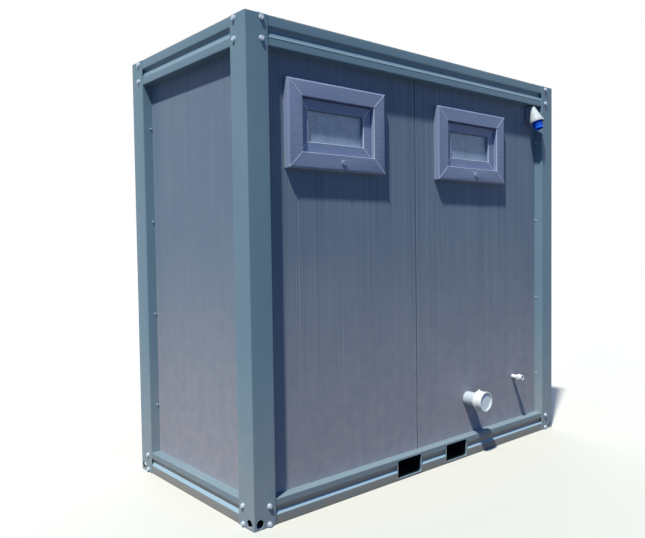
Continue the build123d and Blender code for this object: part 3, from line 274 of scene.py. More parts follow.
class Finish:
    """One material, built up a layer at a time on the piece's own coordinates."""

    made = {}

    def __init__(self, name, colour, roughness, metallic=0.0):
        material = bpy.data.materials.new(name)
        material.use_nodes = True
        self.tree = material.node_tree
        self.shader = self.tree.nodes["Principled BSDF"]
        self.set(Base_Color=(*colour, 1.0), Roughness=roughness, Metallic=metallic)
        self.place = self.node("ShaderNodeTexCoord").outputs["Object"]
        Finish.made[name] = material

    def set(self, **values):
        """Sets uniform shader values, with underscores for spaces."""
        for name, value in values.items():
            self.shader.inputs[name.replace("_", " ")].default_value = value
        return self

    def node(self, kind, inputs=(), **settings):
        return add_node(self.tree, kind, inputs, **settings)

    def math(self, operation, first, second=0.0):
        inputs = ((0, first), (1, second))
        return self.node("ShaderNodeMath", inputs, operation=operation).outputs[0]

    def ramp(self, value, low, high, start=0.0, end=1.0):
        """Maps a value between two limits to a start and an end, smoothly."""
        inputs = (("Value", value), ("From Min", low), ("From Max", high), ("To Min", start), ("To Max", end))
        return self.node("ShaderNodeMapRange", inputs, interpolation_type="SMOOTHSTEP").outputs["Result"]

    def noise(self, scale, detail=2.0, stretch=(1.0, 1.0, 1.0)):
        stretched = self.node("ShaderNodeMapping", (("Vector", self.place), ("Scale", stretch)))
        inputs = (("Vector", stretched.outputs["Vector"]), ("Scale", scale), ("Detail", detail))
        return self.node("ShaderNodeTexNoise", inputs).outputs["Fac"]

    def cells(self, scale, output="Distance"):
        inputs = (("Vector", self.place), ("Scale", scale))
        return self.node("ShaderNodeTexVoronoi", inputs).outputs[output]

    def axis(self, name):
        return self.node("ShaderNodeSeparateXYZ", ((0, self.place),)).outputs[name]

    def tint(self, mask, colour):
        """Moves the colour towards another one where a mask is high."""
        base = self.shader.inputs["Base Color"]
        current = base.links[0].from_socket if base.is_linked else tuple(base.default_value)
        inputs = ((0, mask), (6, current), (7, (*colour, 1.0)))
        mix = self.node("ShaderNodeMix", inputs, data_type="RGBA")
        self.tree.links.new(mix.outputs[2], base)
        return self

    def gloss(self, mask, low, high):
        """Varies the roughness with a mask."""
        self.tree.links.new(self.ramp(mask, 0.3, 0.7, low, high), self.shader.inputs["Roughness"])
        return self

    def bump(self, height, distance, strength=1.0):
        """Adds relief, on top of what there is."""
        normal = self.shader.inputs["Normal"]
        inputs = [("Height", height), ("Distance", distance), ("Strength", strength)]
        if normal.is_linked:
            inputs.append(("Normal", normal.links[0].from_socket))
        self.tree.links.new(self.node("ShaderNodeBump", inputs).outputs["Normal"], normal)
        return self


def lighter(colour, amount):
    return tuple(value + (1.0 - value) * amount for value in colour)


def darker(colour, amount):
    return tuple(value * (1.0 - amount) for value in colour)


def coated(name, colour, roughness=0.34, shine=0.16):
    """Sprayed paint: slight cloudiness and orange peel."""
    finish = Finish(name, colour, roughness).set(Specular_IOR_Level=shine)
    cloud = finish.noise(2.2, 3.0)
    finish.tint(finish.ramp(cloud, 0.35, 0.75, 0.0, 0.22), lighter(colour, 0.12))
    finish.tint(finish.ramp(finish.noise(9.0, 4.0), 0.5, 0.85, 0.0, 0.25), darker(colour, 0.18))
    finish.gloss(cloud, roughness - 0.05, roughness + 0.08)
    finish.bump(finish.noise(520.0, 2.0), 0.15 * MM, 0.35)
    return finish


def with_dust_and_ground_reflection(finish, colour, height, amount=1.0):
    """A paler colour that fades upwards from the ground: road dust, and a painted reflection of the bright
    ground.
    """
    low = finish.ramp(finish.axis("Z"), 0.0, height, 1.0, 0.0)
    patches = finish.ramp(finish.noise(14.0, 5.0), 0.2, 0.8, 0.45 * amount, 0.75 * amount)
    finish.tint(finish.math("MULTIPLY", low, patches), colour)
    return finish


def lined_panel(name, axis, origin, props, colours, clearness):
    """Outer coating with rolled vertical lines that carry a painted highlight, with road dust and a painted
    reflection of the ground towards the bottom.
    """
    finish = coated(name, colours.panel, roughness=0.4, shine=0.06)
    along = finish.math("SUBTRACT", finish.axis(axis), origin)
    half = props.pitch / 2
    fine = finish.ramp(finish.math("PINGPONG", along, half), 0.0, props.fine_width, 1.0, 0.0)
    far = finish.math("PINGPONG", along, props.pitch * props.every / 2)
    strong = finish.ramp(far, 0.0, props.strong_width, 1.0, 0.0)
    streak = finish.ramp(finish.noise(5.0, 2.0, (1.0, 1.0, 0.35)), 0.35, 0.65, 0.35, 1.0)
    lines = finish.math("MAXIMUM", finish.math("MULTIPLY", fine, 0.6), strong)
    light = finish.math("MULTIPLY", finish.math("MULTIPLY", lines, streak), 0.6 * clearness)
    # painted highlight: the rolled lines are tinted lighter
    finish.tint(light, lighter(colours.panel, 0.3))
    drawn = finish.noise(60.0, 3.0, (1.0, 1.0, 0.012))
    finish.tint(finish.ramp(drawn, 0.42, 0.72, 0.0, 0.5 * clearness), darker(colours.panel, 0.22))
    finish.bump(lines, props.depth * clearness, -0.8)
    # paler towards the ground: road dust and a painted reflection of the bright ground
    with_dust_and_ground_reflection(finish, paint(172, 167, 177), height=1.7, amount=1.15)
    return finish


def with_joint(finish, origin, colour):
    """The dark joint between two panels and a painted highlight along the edge beside it."""
    across = finish.math("SUBTRACT", finish.axis("X"), origin)
    gap = finish.ramp(finish.math("ABSOLUTE", across), JOINT_HALF, 2 * JOINT_HALF, 0.65, 0.0)
    finish.tint(gap, darker(colour, 0.65))
    edge = finish.math("ABSOLUTE", finish.math("SUBTRACT", across, 3 * JOINT_HALF))
    # painted highlight: a light line beside the joint
    finish.tint(finish.ramp(edge, 0.0, JOINT_HALF, 0.6, 0.0), lighter(colour, 0.45))
    return finish


def with_lining(finish, colours, axis, face):
    """White lining and a floor upstand wherever the piece faces the room."""
    inner = inside_walls(finish, axis, face)
    finish.tint(inner, colours.lining)
    low = finish.math("LESS_THAN", finish.axis("Z"), UPSTAND_TOP)
    finish.tint(finish.math("MULTIPLY", inner, low), colours.floor)
    return finish


def inside_walls(finish, axis, face):
    """1 between the two inner wall faces that look along an axis."""
    return finish.math("LESS_THAN", finish.math("ABSOLUTE", finish.axis(axis)), face + MM)


def metal(name, colour, roughness, grain=(1.0, 1.0, 1.0)):
    """Bare or plated metal with a fine grain."""
    finish = Finish(name, colour, roughness, 1.0)
    grit = finish.noise(180.0, 3.0, grain)
    finish.gloss(grit, roughness - 0.06, roughness + 0.12)
    finish.tint(finish.ramp(finish.noise(24.0, 3.0), 0.4, 0.8, 0.0, 0.3), darker(colour, 0.3))
    finish.bump(grit, 0.05 * MM, 0.4)
    return finish


def plated(name, colour):
    """Bright zinc plating, cloudy from the weather."""
    finish = Finish(name, colour, 0.36, 0.25)
    finish.tint(finish.ramp(finish.noise(160.0, 3.0), 0.4, 0.7, 0.0, 0.5), darker(colour, 0.25))
    finish.gloss(finish.noise(220.0, 2.0), 0.28, 0.5)
    finish.bump(finish.noise(700.0, 2.0), 0.04 * MM, 0.3)
    return finish


def galvanised(name, colour):
    """Hot-dip zinc with its spangle."""
    finish = Finish(name, colour, 0.42, 1.0)
    spangle = finish.cells(60.0, "Color")
    shade = finish.node("ShaderNodeRGBToBW", ((0, spangle),)).outputs[0]
    finish.tint(finish.ramp(shade, 0.2, 0.9, 0.0, 0.45), darker(colour, 0.35))
    finish.gloss(shade, 0.34, 0.55)
    finish.bump(finish.noise(90.0, 3.0), 0.1 * MM, 0.3)
    return finish


def plastic(name, colour, roughness, grain=420.0):
    """Moulded plastic with a light grain."""
    finish = Finish(name, colour, roughness).set(Specular_IOR_Level=0.16)
    finish.tint(finish.ramp(finish.noise(6.0, 3.0), 0.4, 0.8, 0.0, 0.3), darker(colour, 0.08))
    finish.gloss(finish.noise(30.0, 2.0), roughness - 0.05, roughness + 0.07)
    finish.bump(finish.noise(grain, 2.0), 0.08 * MM, 0.3)
    return finish


def silvered(name, colour):
    """Mirror glass with a breath of haze."""
    finish = Finish(name, colour, 0.03, 1.0)
    haze = finish.noise(7.0, 3.0)
    finish.tint(finish.ramp(haze, 0.4, 0.8, 0.0, 0.08), darker(colour, 0.2))
    finish.gloss(haze, 0.02, 0.05)
    return finish


def glazed(name, colour):
    """Sanitary ceramic: white glaze with a faint wave."""
    finish = Finish(name, colour, 0.12).set(Coat_Weight=0.4, Coat_Roughness=0.05)
    finish.tint(finish.ramp(finish.noise(3.0, 2.0), 0.4, 0.7, 0.0, 0.3), darker(colour, 0.05))
    finish.bump(finish.noise(12.0, 1.0), 0.3 * MM, 0.15)
    return finish


def patterned_glass(name):
    """Obscured glass with a hammered surface."""
    finish = Finish(name, paint(146, 178, 214), 0.3).set(Transmission_Weight=0.35, IOR=1.5)
    hammer = finish.noise(150.0, 3.0)
    finish.tint(finish.ramp(hammer, 0.4, 0.6, 0.0, 0.8), paint(200, 220, 244))
    finish.tint(finish.ramp(finish.noise(16.0, 3.0), 0.4, 0.75, 0.0, 0.5), paint(118, 148, 184))
    finish.bump(hammer, 2.0 * MM, 0.8)
    return finish


def floor_covering(name, colour):
    """Speckled safety flooring."""
    finish = Finish(name, colour, 0.6)
    finish.tint(finish.ramp(finish.cells(260.0), 0.08, 0.16, 0.8, 0.0), lighter(colour, 0.5))
    finish.tint(finish.ramp(finish.noise(300.0, 2.0), 0.6, 0.66), darker(colour, 0.4))
    finish.bump(finish.noise(400.0, 2.0), 0.2 * MM, 0.4)
    return finish


# Pieces


def place_piece(name, shape, material, body=CABIN, softness=0.0, segments=2):
    """Turns a bmesh into a finished piece that rides on a body, with its edges softened."""
    mesh = bpy.data.meshes.new(name)
    bmesh.ops.recalc_face_normals(shape, faces=shape.faces)
    shape.to_mesh(mesh)
    shape.free()
    return place_mesh(name, mesh, material, body, softness, segments)


def place_mesh(name, mesh, material, body, softness, segments):
    mesh.shade_smooth()
    mesh.set_sharp_from_angle(angle=SMOOTH_ANGLE)
    mesh.materials.append(Finish.made[material])
    piece = bpy.data.objects.new(name, mesh)
    bpy.context.scene.collection.objects.link(piece)
    if softness:
        edge = piece.modifiers.new("soft edges", "BEVEL")
        edge.width = softness
        edge.segments = segments
        edge.limit_method = "ANGLE"
        edge.angle_limit = CORNER_ANGLE
        edge.use_clamp_overlap = True
    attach(piece, body)
    return piece


def refine(node, material, softness=0.0, segments=2):
    """A clean copy of a CAD node that stands for it: faces joined, curves smooth, edges soft."""
    source = frame["nodes"][node]
    shape = bmesh.new()
    shape.from_mesh(source.data)
    bmesh.ops.remove_doubles(shape, verts=shape.verts, dist=MERGE_DISTANCE)
    bmesh.ops.dissolve_limit(
        shape, angle_limit=FLAT_ANGLE, verts=shape.verts, edges=shape.edges, delimit={"NORMAL"}
    )
    name = f"{node}_finished"
    mesh = bpy.data.meshes.new(name)
    shape.to_mesh(mesh)
    shape.free()
    piece = place_mesh(name, mesh, material, source["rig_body"], softness, segments)
    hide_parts(node)
    return piece


def entry(group, key, name):
    """One entry of a list in the record."""
    return next(item for item in frame["record"][group] if item[key] == name)


def centre_of(node):
    """The middle of a node seen from the front, as x and z."""
    low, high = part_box(node)
    return (low.x + high.x) / 2, (low.z + high.z) / 2


def window_face(side):
    """How far out the face of a window frame stands."""
    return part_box(f"front_wall_{side}")[0].y - FRAME_PROUD


def dress(node, material):
    """Gives a CAD node a better material and leaves its mesh alone."""
    slots = frame["nodes"][node].data.materials
    slots.clear()
    slots.append(Finish.made[material])


def add_block(shape, low, high):
    """A box between two corners."""
    low, high = Vector(low), Vector(high)
    place = Matrix.Translation((low + high) / 2) @ Matrix.Diagonal((*(high - low), 1.0))
    return bmesh.ops.create_cube(shape, size=1.0, matrix=place)["verts"]


def add_frame(shape, centre, outer, rim, y_low, y_high):
    """A rectangular ring between two depths: an upright sheet, inset, opened and thickened."""
    upright = Matrix.Rotation(math.radians(90), 4, "X")
    place = Matrix.Translation((centre[0], y_low, centre[1])) @ upright
    place @= Matrix.Diagonal((outer[0] / 2, outer[1] / 2, 1.0, 1.0))
    corner = bmesh.ops.create_grid(shape, x_segments=1, y_segments=1, size=1.0, matrix=place)["verts"][0]
    sheet = corner.link_faces[0]
    ring = bmesh.ops.inset_individual(shape, faces=[sheet], thickness=rim, use_even_offset=True)["faces"]
    bmesh.ops.delete(shape, geom=[sheet], context="FACES")
    deep = bmesh.ops.extrude_face_region(shape, geom=ring)["geom"]
    verts = [item for item in deep if isinstance(item, bmesh.types.BMVert)]
    bmesh.ops.translate(shape, verts=verts, vec=(0.0, y_high - y_low, 0.0))


def facing(start, direction):
    """A matrix that turns a shape made along +Z to a direction, from a point."""
    turn = Vector((0.0, 0.0, 1.0)).rotation_difference(Vector(direction)).to_matrix().to_4x4()
    return Matrix.Translation(start) @ turn


def add_bead_rectangle(shape, low, high, y, radius, margin=0.0):
    """A round bead a margin outside the four sides of a box seen from the front."""
    left, bottom = low[0] - margin, low[2] - margin
    right, top = high[0] + margin, high[2] + margin
    corners = [(left, bottom), (right, bottom), (right, top), (left, top)]
    for index, (x, z) in enumerate(corners):
        next_x, next_z = corners[(index + 1) % 4]
        run = Vector((next_x - x, 0.0, next_z - z))
        add_rod(shape, (x, y, z), run.normalized(), radius, run.length, 10)


def add_mitres(shape, centre, outer, inner, face, sizes):
    """A thin raised line from each outer corner to the inner one, on a face that looks along -Y."""
    x, z = centre
    for sx, sz in ((-1, -1), (1, -1), (1, 1), (-1, 1)):
        start = Vector((x + sx * outer[0] / 2, face, z + sz * outer[1] / 2))
        end = Vector((x + sx * inner[0] / 2, face, z + sz * inner[1] / 2))
        run = (end - start).length
        line = add_block(
            shape, (start.x, face - sizes.weld_height, start.z - sizes.weld_width / 2),
            (start.x + run, face + sizes.weld_height, start.z + sizes.weld_width / 2),
        )
        slope = math.atan2(end.z - start.z, end.x - start.x)
        bmesh.ops.rotate(shape, cent=start, matrix=Matrix.Rotation(-slope, 3, "Y"), verts=line)


def add_louvres(shape, x, bottom, half_width, face, out):
    """A flanged rim with sloped blades, on a face that looks along +Y or -Y."""
    outer = (2 * half_width, half_width * GRILLE_TALL)
    inner = (outer[0] - 2 * GRILLE_RIM, outer[1] - 2 * GRILLE_RIM)
    back, front = sorted((face, face + out * GRILLE_DEPTH))
    centre = (x, bottom + outer[1] / 2)
    add_frame(shape, centre, outer, GRILLE_RIM, back, front)
    blades = int(inner[1] / LOUVRE_PITCH)
    for index in range(blades):
        z = centre[1] - inner[1] / 2 + (index + 0.5) * inner[1] / blades
        blade = add_block(
            shape, (x - inner[0] / 2, back, z - LOUVRE_HALF), (x + inner[0] / 2, front, z + LOUVRE_HALF)
        )
        slope = Matrix.Rotation(out * LOUVRE_SLOPE, 3, "X")
        bmesh.ops.rotate(shape, cent=(x, (back + front) / 2, z), matrix=slope, verts=blade)


def add_rod(shape, start, direction, radius, run, segments=32, end_radius=None):
    """A round bar from a point along a direction."""
    middle = facing(start, direction) @ Matrix.Translation((0.0, 0.0, run / 2))
    return bmesh.ops.create_cone(
        shape, cap_ends=True, segments=segments, radius1=radius,
        radius2=radius if end_radius is None else end_radius, depth=run, matrix=middle,
    )["verts"]


def add_spun(shape, centre, direction, section):
    """A closed outline, given as radius and height, spun about an axis."""
    place = facing(centre, direction)
    verts = [shape.verts.new(place @ Vector((radius, 0.0, height))) for radius, height in section]
    edges = [shape.edges.new((verts[i], verts[(i + 1) % len(verts)])) for i in range(len(verts))]
    axis = (place.to_3x3() @ Vector((0.0, 0.0, 1.0))).normalized()
    bmesh.ops.spin(
        shape, geom=verts + edges, cent=centre, axis=axis, angle=math.tau, steps=48, use_merge=True
    )


def add_round_ring(shape, centre, direction, outer, inner, run):
    """A flat ring, as a washer."""
    add_spun(shape, centre, direction, [(inner, 0.0), (outer, 0.0), (outer, run), (inner, run)])


def add_torus(shape, centre, direction, radius, thickness, sides=10):
    """A round bead about an axis."""
    angles = [math.tau * index / sides for index in range(sides)]
    section = [(radius + thickness * math.cos(angle), thickness * math.sin(angle)) for angle in angles]
    add_spun(shape, centre, direction, section)


class CABIN_OT_materials(bpy.types.Operator):
    """Mix the paints, plastics, metals and glass."""

    bl_idname = "cabin.materials"
    bl_label = "Materials"

    def execute(self, context):
        colours = context.scene.cabin_colours
        panels = context.scene.cabin_panels
        frame_paint = coated("frame_paint", colours.frame, 0.33)
        with_dust_and_ground_reflection(frame_paint, paint(162, 167, 172), height=1.0, amount=0.85)
        self.mix_floor_beam_paint(colours)
        self.mix_pocket_paint(colours)
        # pale paint of the painted highlight beads along the roof beams' folds
        coated("rubbed_edge", paint(206, 222, 238), 0.25)
        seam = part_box("front_wall_left")[1].x
        long_panel = lined_panel("long_panel", "X", seam, panels, colours, clearness=1.0)
        with_joint(long_panel, seam, colours.panel)
        with_lining(long_panel, colours, "Y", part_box("partition_wall")[1].y)
        end_panel = lined_panel("end_panel", "Y", 0.0, panels, colours, clearness=0.5)
        with_lining(end_panel, colours, "X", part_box("floor_deck")[1].x)
        coated("white_lining", colours.lining, 0.4)
        coated("door_paint", paint(206, 208, 208), 0.36)
        floor_covering("floor_covering", colours.floor)
        galvanised("galvanised", paint(158, 164, 170))
        plated("zinc", colours.zinc)
        metal("brushed", colours.steel, 0.32, grain=(1.0, 1.0, 12.0))
        metal("lock_steel", darker(colours.steel, 0.1), 0.36)
        metal("chrome", paint(214, 216, 218), 0.1)
        silvered("mirror", paint(222, 228, 230))
        self.mix_window_foil(colours)
        plastic("sealant", paint(120, 126, 136), 0.5)
        # pale plastic of the mitre welds, and of the painted highlight beads on the window edges
        plastic("weld_line", paint(226, 234, 250), 0.3)
        plastic("plug_blue", paint(232, 242, 255), 0.4)
        plastic("pane_lip", paint(62, 68, 84), 0.5)
        glazed("ceramic", colours.ceramic)
        plastic("seat_plastic", paint(236, 236, 232), 0.24)
        plastic("pipe_plastic", colours.pipe, 0.38)
        self.mix_drain_plastic(colours)
        self.mix_hood_plastic(colours)
        plastic("collar_blue", colours.collar, 0.3)
        plastic("lamp_cover", paint(238, 238, 234), 0.5)
        plastic("fitting_white", paint(228, 229, 228), 0.42)
        plastic("paper", paint(236, 234, 228), 0.85, grain=160.0)
        patterned_glass("window_glass")
        return {"FINISHED"}

    def mix_floor_beam_paint(self, colours):
        """Dusty frame paint, browner in the groove, with a painted reflection of the sky on the slope below
        it.
        """
        finish = coated("floor_beam_paint", colours.frame, 0.38)
        with_dust_and_ground_reflection(finish, paint(150, 143, 136), height=0.2, amount=1.3)
        height = finish.axis("Z")
        groove = (SLOPE_TOP, GROOVE_TOP, paint(176, 164, 152))
        # painted reflection of the sky: the slope is tinted light blue
        slope = (SLOPE_TOP - SLOPE_FALL, SLOPE_TOP, paint(150, 186, 214))
        for low, high, colour in (groove, slope):
            above = finish.math("GREATER_THAN", height, low)
            below = finish.math("LESS_THAN", height, high)
            band = finish.math("MULTIPLY", above, below)
            finish.tint(finish.math("MULTIPLY", band, 0.7), colour)

    def mix_pocket_paint(self, colours):
        """Frame paint on the mouths of the fork pockets, and near-black painted shade inside them."""
        finish = coated("pocket_paint", colours.frame, 0.4)
        inside = inside_walls(finish, "Y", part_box("fork_pockets")[1].y - POCKET_MOUTH)
        # painted shade: the inside of the pockets is tinted near black
        finish.tint(inside, paint(30, 34, 40))

    def mix_drain_plastic(self, colours):
        """White socket; the pipe behind it is tinted bluish grey."""
        finish = plastic("drain_plastic", colours.pipe, 0.38)
        depth = finish.axis("Y")
        behind = finish.ramp(depth, PIPE_TINT_EDGE - PIPE_TINT_FADE, PIPE_TINT_EDGE + PIPE_TINT_FADE, 0.0, 0.62)
        outside = finish.math("LESS_THAN", depth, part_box("front_wall_right")[1].y)
        finish.tint(finish.math("MULTIPLY", behind, outside), paint(150, 168, 192))

    def mix_window_foil(self, colours):
        """Foil of the profiles, and the paler plastic of the round cap that stands proud of them."""
        finish = plastic("window_foil", colours.window, 0.36)
        grain = finish.noise(260.0, 3.0, (0.04, 1.0, 1.0))
        finish.tint(finish.ramp(grain, 0.4, 0.7, 0.0, 0.4), lighter(colours.window, 0.2))
        cap = finish.math("LESS_THAN", finish.axis("Y"), window_face("left") - CAP_EDGE)
        finish.tint(cap, paint(140, 152, 178))

    def mix_hood_plastic(self, colours):
        """Grey hood with a fine grain; its base plate is darkened to the wall's colour as painted shade."""
        finish = plastic("hood_grey", colours.hood, 0.42)
        finish.tint(finish.ramp(finish.noise(300.0, 4.0), 0.35, 0.65, 0.0, 0.5), darker(colours.hood, 0.25))
        finish.bump(finish.noise(240.0, 3.0), 0.5 * MM, 0.5)
        # painted shade: the base plate, in the roof beam's shadow, is tinted like the wall
        plate = finish.math("GREATER_THAN", finish.axis("Y"), HOOD_PLATE)
        finish.tint(plate, darker(colours.panel, 0.1))


class CABIN_OT_frame(bpy.types.Operator):
    """Finish the posts, beams, fork pockets, bolts and roof sheet."""

    bl_idname = "cabin.frame"
    bl_label = "Steel frame"

    def execute(self, context):
        for end in ("front", "back"):
            for side in SIDES:
                refine(f"corner_post_{end}_{side}", "frame_paint", FOLD_SOFTNESS)
        for run in ("long", "short"):
            refine(f"floor_beams_{run}", "floor_beam_paint", FOLD_SOFTNESS)
            refine(f"roof_beams_{run}", "frame_paint", FOLD_SOFTNESS)
        refine("fork_pockets", "pocket_paint")
        dress("cross_members", "galvanised")
        dress("frame_bolts", "zinc")
        dress("sheet_screws", "zinc")
        dress("roof_sheet", "galvanised")
        self.weld_fork_pockets()
        self.paint_fold_highlights()
        return {"FINISHED"}

    def paint_fold_highlights(self):
        """A painted highlight: a pale bead along the lower fold of each long roof beam."""
        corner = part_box("roof_beams_long")[1]
        reach = corner.x - POST_HOLLOW
        shape = bmesh.new()
        for y in (-corner.y, corner.y):
            start = (-reach, y, corner.z - ROOF_FOLD_DROP)
            add_rod(shape, start, (1.0, 0.0, 0.0), HIGHLIGHT_BEAD, 2 * reach, segments=12)
        place_piece("roof_fold_lines", shape, "rubbed_edge")

    def weld_fork_pockets(self):
        """A weld bead round the mouth of each pocket, on both long sides."""
        low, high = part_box("fork_pockets")
        shape = bmesh.new()
        for opening in frame["record"]["physics"]["openings"]:
            if opening["name"].startswith("fork_pocket"):
                for y in (low.y, high.y):
                    add_bead_rectangle(shape, *opening["box_m"], y, WELD_RADIUS, POCKET_WALL)
        place_piece("fork_pocket_welds", shape, "floor_beam_paint")


class CABIN_OT_panels(bpy.types.Operator):
    """Finish the walls, floor and ceiling."""

    bl_idname = "cabin.panels"
    bl_label = "Panels"

    def execute(self, context):
        for side in SIDES:
            dress(f"front_wall_{side}", "long_panel")
            dress(f"back_wall_{side}", "long_panel")
            dress(f"end_wall_{side}", "end_panel")
        dress("partition_wall", "white_lining")
        dress("ceiling_panel", "white_lining")
        dress("floor_deck", "floor_covering")
        return {"FINISHED"}


class CABIN_OT_windows(bpy.types.Operator):
    """Finish the window frames, sashes, panes and handles, with their weld lines and seals."""

    bl_idname = "cabin.windows"
    bl_label = "Windows"

    def execute(self, context):
        sizes = context.scene.cabin_windows
        for side in SIDES:
            self.press_cap(side, refine(f"window_frame_{side}", "window_foil", PROFILE_SOFTNESS, 3))
            refine(f"window_sash_{side}", "window_foil", PROFILE_SOFTNESS, 3)
            refine(f"window_handle_{side}", "brushed", 1.2 * MM, 3)
            dress(f"window_pane_{side}", "window_glass")
            self.add_sash_face(side)
            self.add_outer_pane(side)
            self.add_pane_seal(side, sizes)
            self.add_sealant(side, sizes)
            self.add_welds(side, sizes)
            self.add_edge_highlights(side)
        return {"FINISHED"}

    def press_cap(self, side, frame_piece):
        """Pushes the round drain cap home, so that it stands only a little proud of the frame."""
        face = window_face(side)
        for vertex in frame_piece.data.vertices:
            if vertex.co.y < face - MM:
                vertex.co.y = face + (vertex.co.y - face) * CAP_PRESS

    def sash_place(self, side):
        """Middle of the sash, its front in the CAD model and the front of its face profile."""
        sash, pane = f"window_sash_{side}", f"window_pane_{side}"
        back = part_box(sash)[0].y
        return (centre_of(sash)[0], centre_of(pane)[1]), back, back - SASH_FACE_PROUD

    def rims(self, side):
        """The frame and the sash: name, body, middle, outer size, opening and face."""
        node = f"window_frame_{side}"
        low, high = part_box(node)
        outer = (high.x - low.x, high.z - low.z)
        centre, _, front = self.sash_place(side)
        return (
            ("frame", CABIN, centre_of(node), outer, FRAME_OPENING, window_face(side)),
            ("sash", f"sash_{side}", centre, SASH_FACE, SASH_OPENING, front),
        )

    def add_sash_face(self, side):
        """The raised face profile of the sash, inside the frame's opening."""
        centre, back, front = self.sash_place(side)
        shape = bmesh.new()
        add_frame(shape, centre, SASH_FACE, SASH_RAIL, front, back)
        place_piece(
            f"sash_face_{side}", shape, "window_foil", f"sash_{side}", PROFILE_SOFTNESS, 3
        )

    def add_outer_pane(self, side):
        """The outer sheet of the double glazing."""
        centre, back, _ = self.sash_place(side)
        width, height = SASH_OPENING
        shape = bmesh.new()
        add_block(
            shape, (centre[0] - width / 2, back - GLASS_THICKNESS, centre[1] - height / 2),
            (centre[0] + width / 2, back, centre[1] + height / 2),
        )
        place_piece(f"outer_pane_{side}", shape, "window_glass", f"sash_{side}", 0.8 * MM)

    def add_edge_highlights(self, side):
        """Painted highlight beads along the lower and upright inner edges of the frame and of the sash."""
        for name, body, centre, _, opening, face in self.rims(side):
            shape = bmesh.new()
            self.add_highlight_beads(shape, centre, face + HIGHLIGHT_BEAD, opening)
            place_piece(f"{name}_edge_highlight_{side}", shape, "weld_line", body)

    def add_highlight_beads(self, shape, centre, y, opening):
        """Three thin painted highlight beads: the bottom, one side and the other side."""
        x, z = centre
        width, height = opening
        bottom = z - height / 2
        add_rod(shape, (x - width / 2, y, bottom), (1.0, 0.0, 0.0), HIGHLIGHT_BEAD, width, segments=12)
        for sx in (-1, 1):
            foot = (x + sx * width / 2, y, bottom)
            add_rod(shape, foot, (0.0, 0.0, 1.0), HIGHLIGHT_BEAD, height * HIGHLIGHT_SHARE, segments=12)

    def add_pane_seal(self, side, sizes):
        """The thin rubber lip between the pane and its sash."""
        centre, back, _ = self.sash_place(side)
        glass = back - GLASS_THICKNESS
        shape = bmesh.new()
        add_frame(shape, centre, SASH_OPENING, sizes.seal_width, glass - sizes.seal_width / 2, glass)
        place_piece(f"pane_seal_{side}", shape, "pane_lip", f"sash_{side}", 0.6 * MM)

    def add_welds(self, side, sizes):
        """The light mitre welds across the corners of the frame and of the sash."""
        for name, body, centre, outer, opening, face in self.rims(side):
            corners = [size - 2 * FRAME_EDGE for size in outer]
            shape = bmesh.new()
            add_mitres(shape, centre, corners, opening, face, sizes)
            place_piece(f"{name}_welds_{side}", shape, "weld_line", body)

    def add_sealant(self, side, sizes):
        """The bead that closes the joint between the frame and the wall panel."""
        low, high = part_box(f"window_frame_{side}")
        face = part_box(f"front_wall_{side}")[0].y
        shape = bmesh.new()
        add_bead_rectangle(shape, low, high, face, sizes.sealant / 2)
        place_piece(f"window_sealant_{side}", shape, "sealant")


class CABIN_OT_doors(bpy.types.Operator):
    """Finish the doors and what is fitted to them."""

    bl_idname = "cabin.doors"
    bl_label = "Doors"

    def execute(self, context):
        refine("door_hinges", "lock_steel", 0.6 * MM)
        for side in SIDES:
            for piece, material, softness in (
                ("frame", "frame_paint", 1.0), ("leaf", "door_paint", 1.2),
                ("lever", "brushed", 0.6), ("turn", "brushed", 0.5),
            ):
                refine(f"door_{piece}_{side}", material, softness * MM)
            for piece in ("latch", "bolt"):
                dress(f"door_{piece}_{side}", "lock_steel")
            self.add_grille(side)
        return {"FINISHED"}

    def add_grille(self, side):
        """A louvred air grille low in the leaf, on both faces."""
        low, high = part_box(f"door_leaf_{side}")
        lock_edge, inward = (high.x, -1) if side == "left" else (low.x, 1)
        middle = lock_edge + inward * LEAF_WIDTH / 2
        bottom = low.z + (high.z - low.z) * GRILLE_FOOT
        outer_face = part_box(f"back_wall_{side}")[1].y + LEAF_PROUD
        shape = bmesh.new()
        for face, out in ((outer_face, 1), (outer_face - LEAF_THICKNESS, -1)):
            add_louvres(shape, middle, bottom, LEAF_WIDTH * GRILLE_HALF, face, out)
        place_piece(f"door_grille_{side}", shape, "fitting_white", f"door_{side}", 0.5 * MM)


class CABIN_OT_sanitary(bpy.types.Operator):
    """Finish the pans, seats, lids, basins and taps."""

    bl_idname = "cabin.sanitary"
    bl_label = "Toilets and basins"

    def execute(self, context):
        refine("hand_basins", "ceramic", 3.0 * MM, 3)
        refine("basin_taps", "chrome", 0.6 * MM)
        for side in SIDES:
            refine(f"toilet_pan_{side}", "ceramic", 2.5 * MM, 3)
            for piece in ("seat", "lid"):
                refine(f"toilet_{piece}_{side}", "seat_plastic", 2.0 * MM, 3)
            for piece in ("flush_button", "tap_push"):
                refine(f"{piece}_{side}", "chrome", 0.6 * MM)
        return {"FINISHED"}


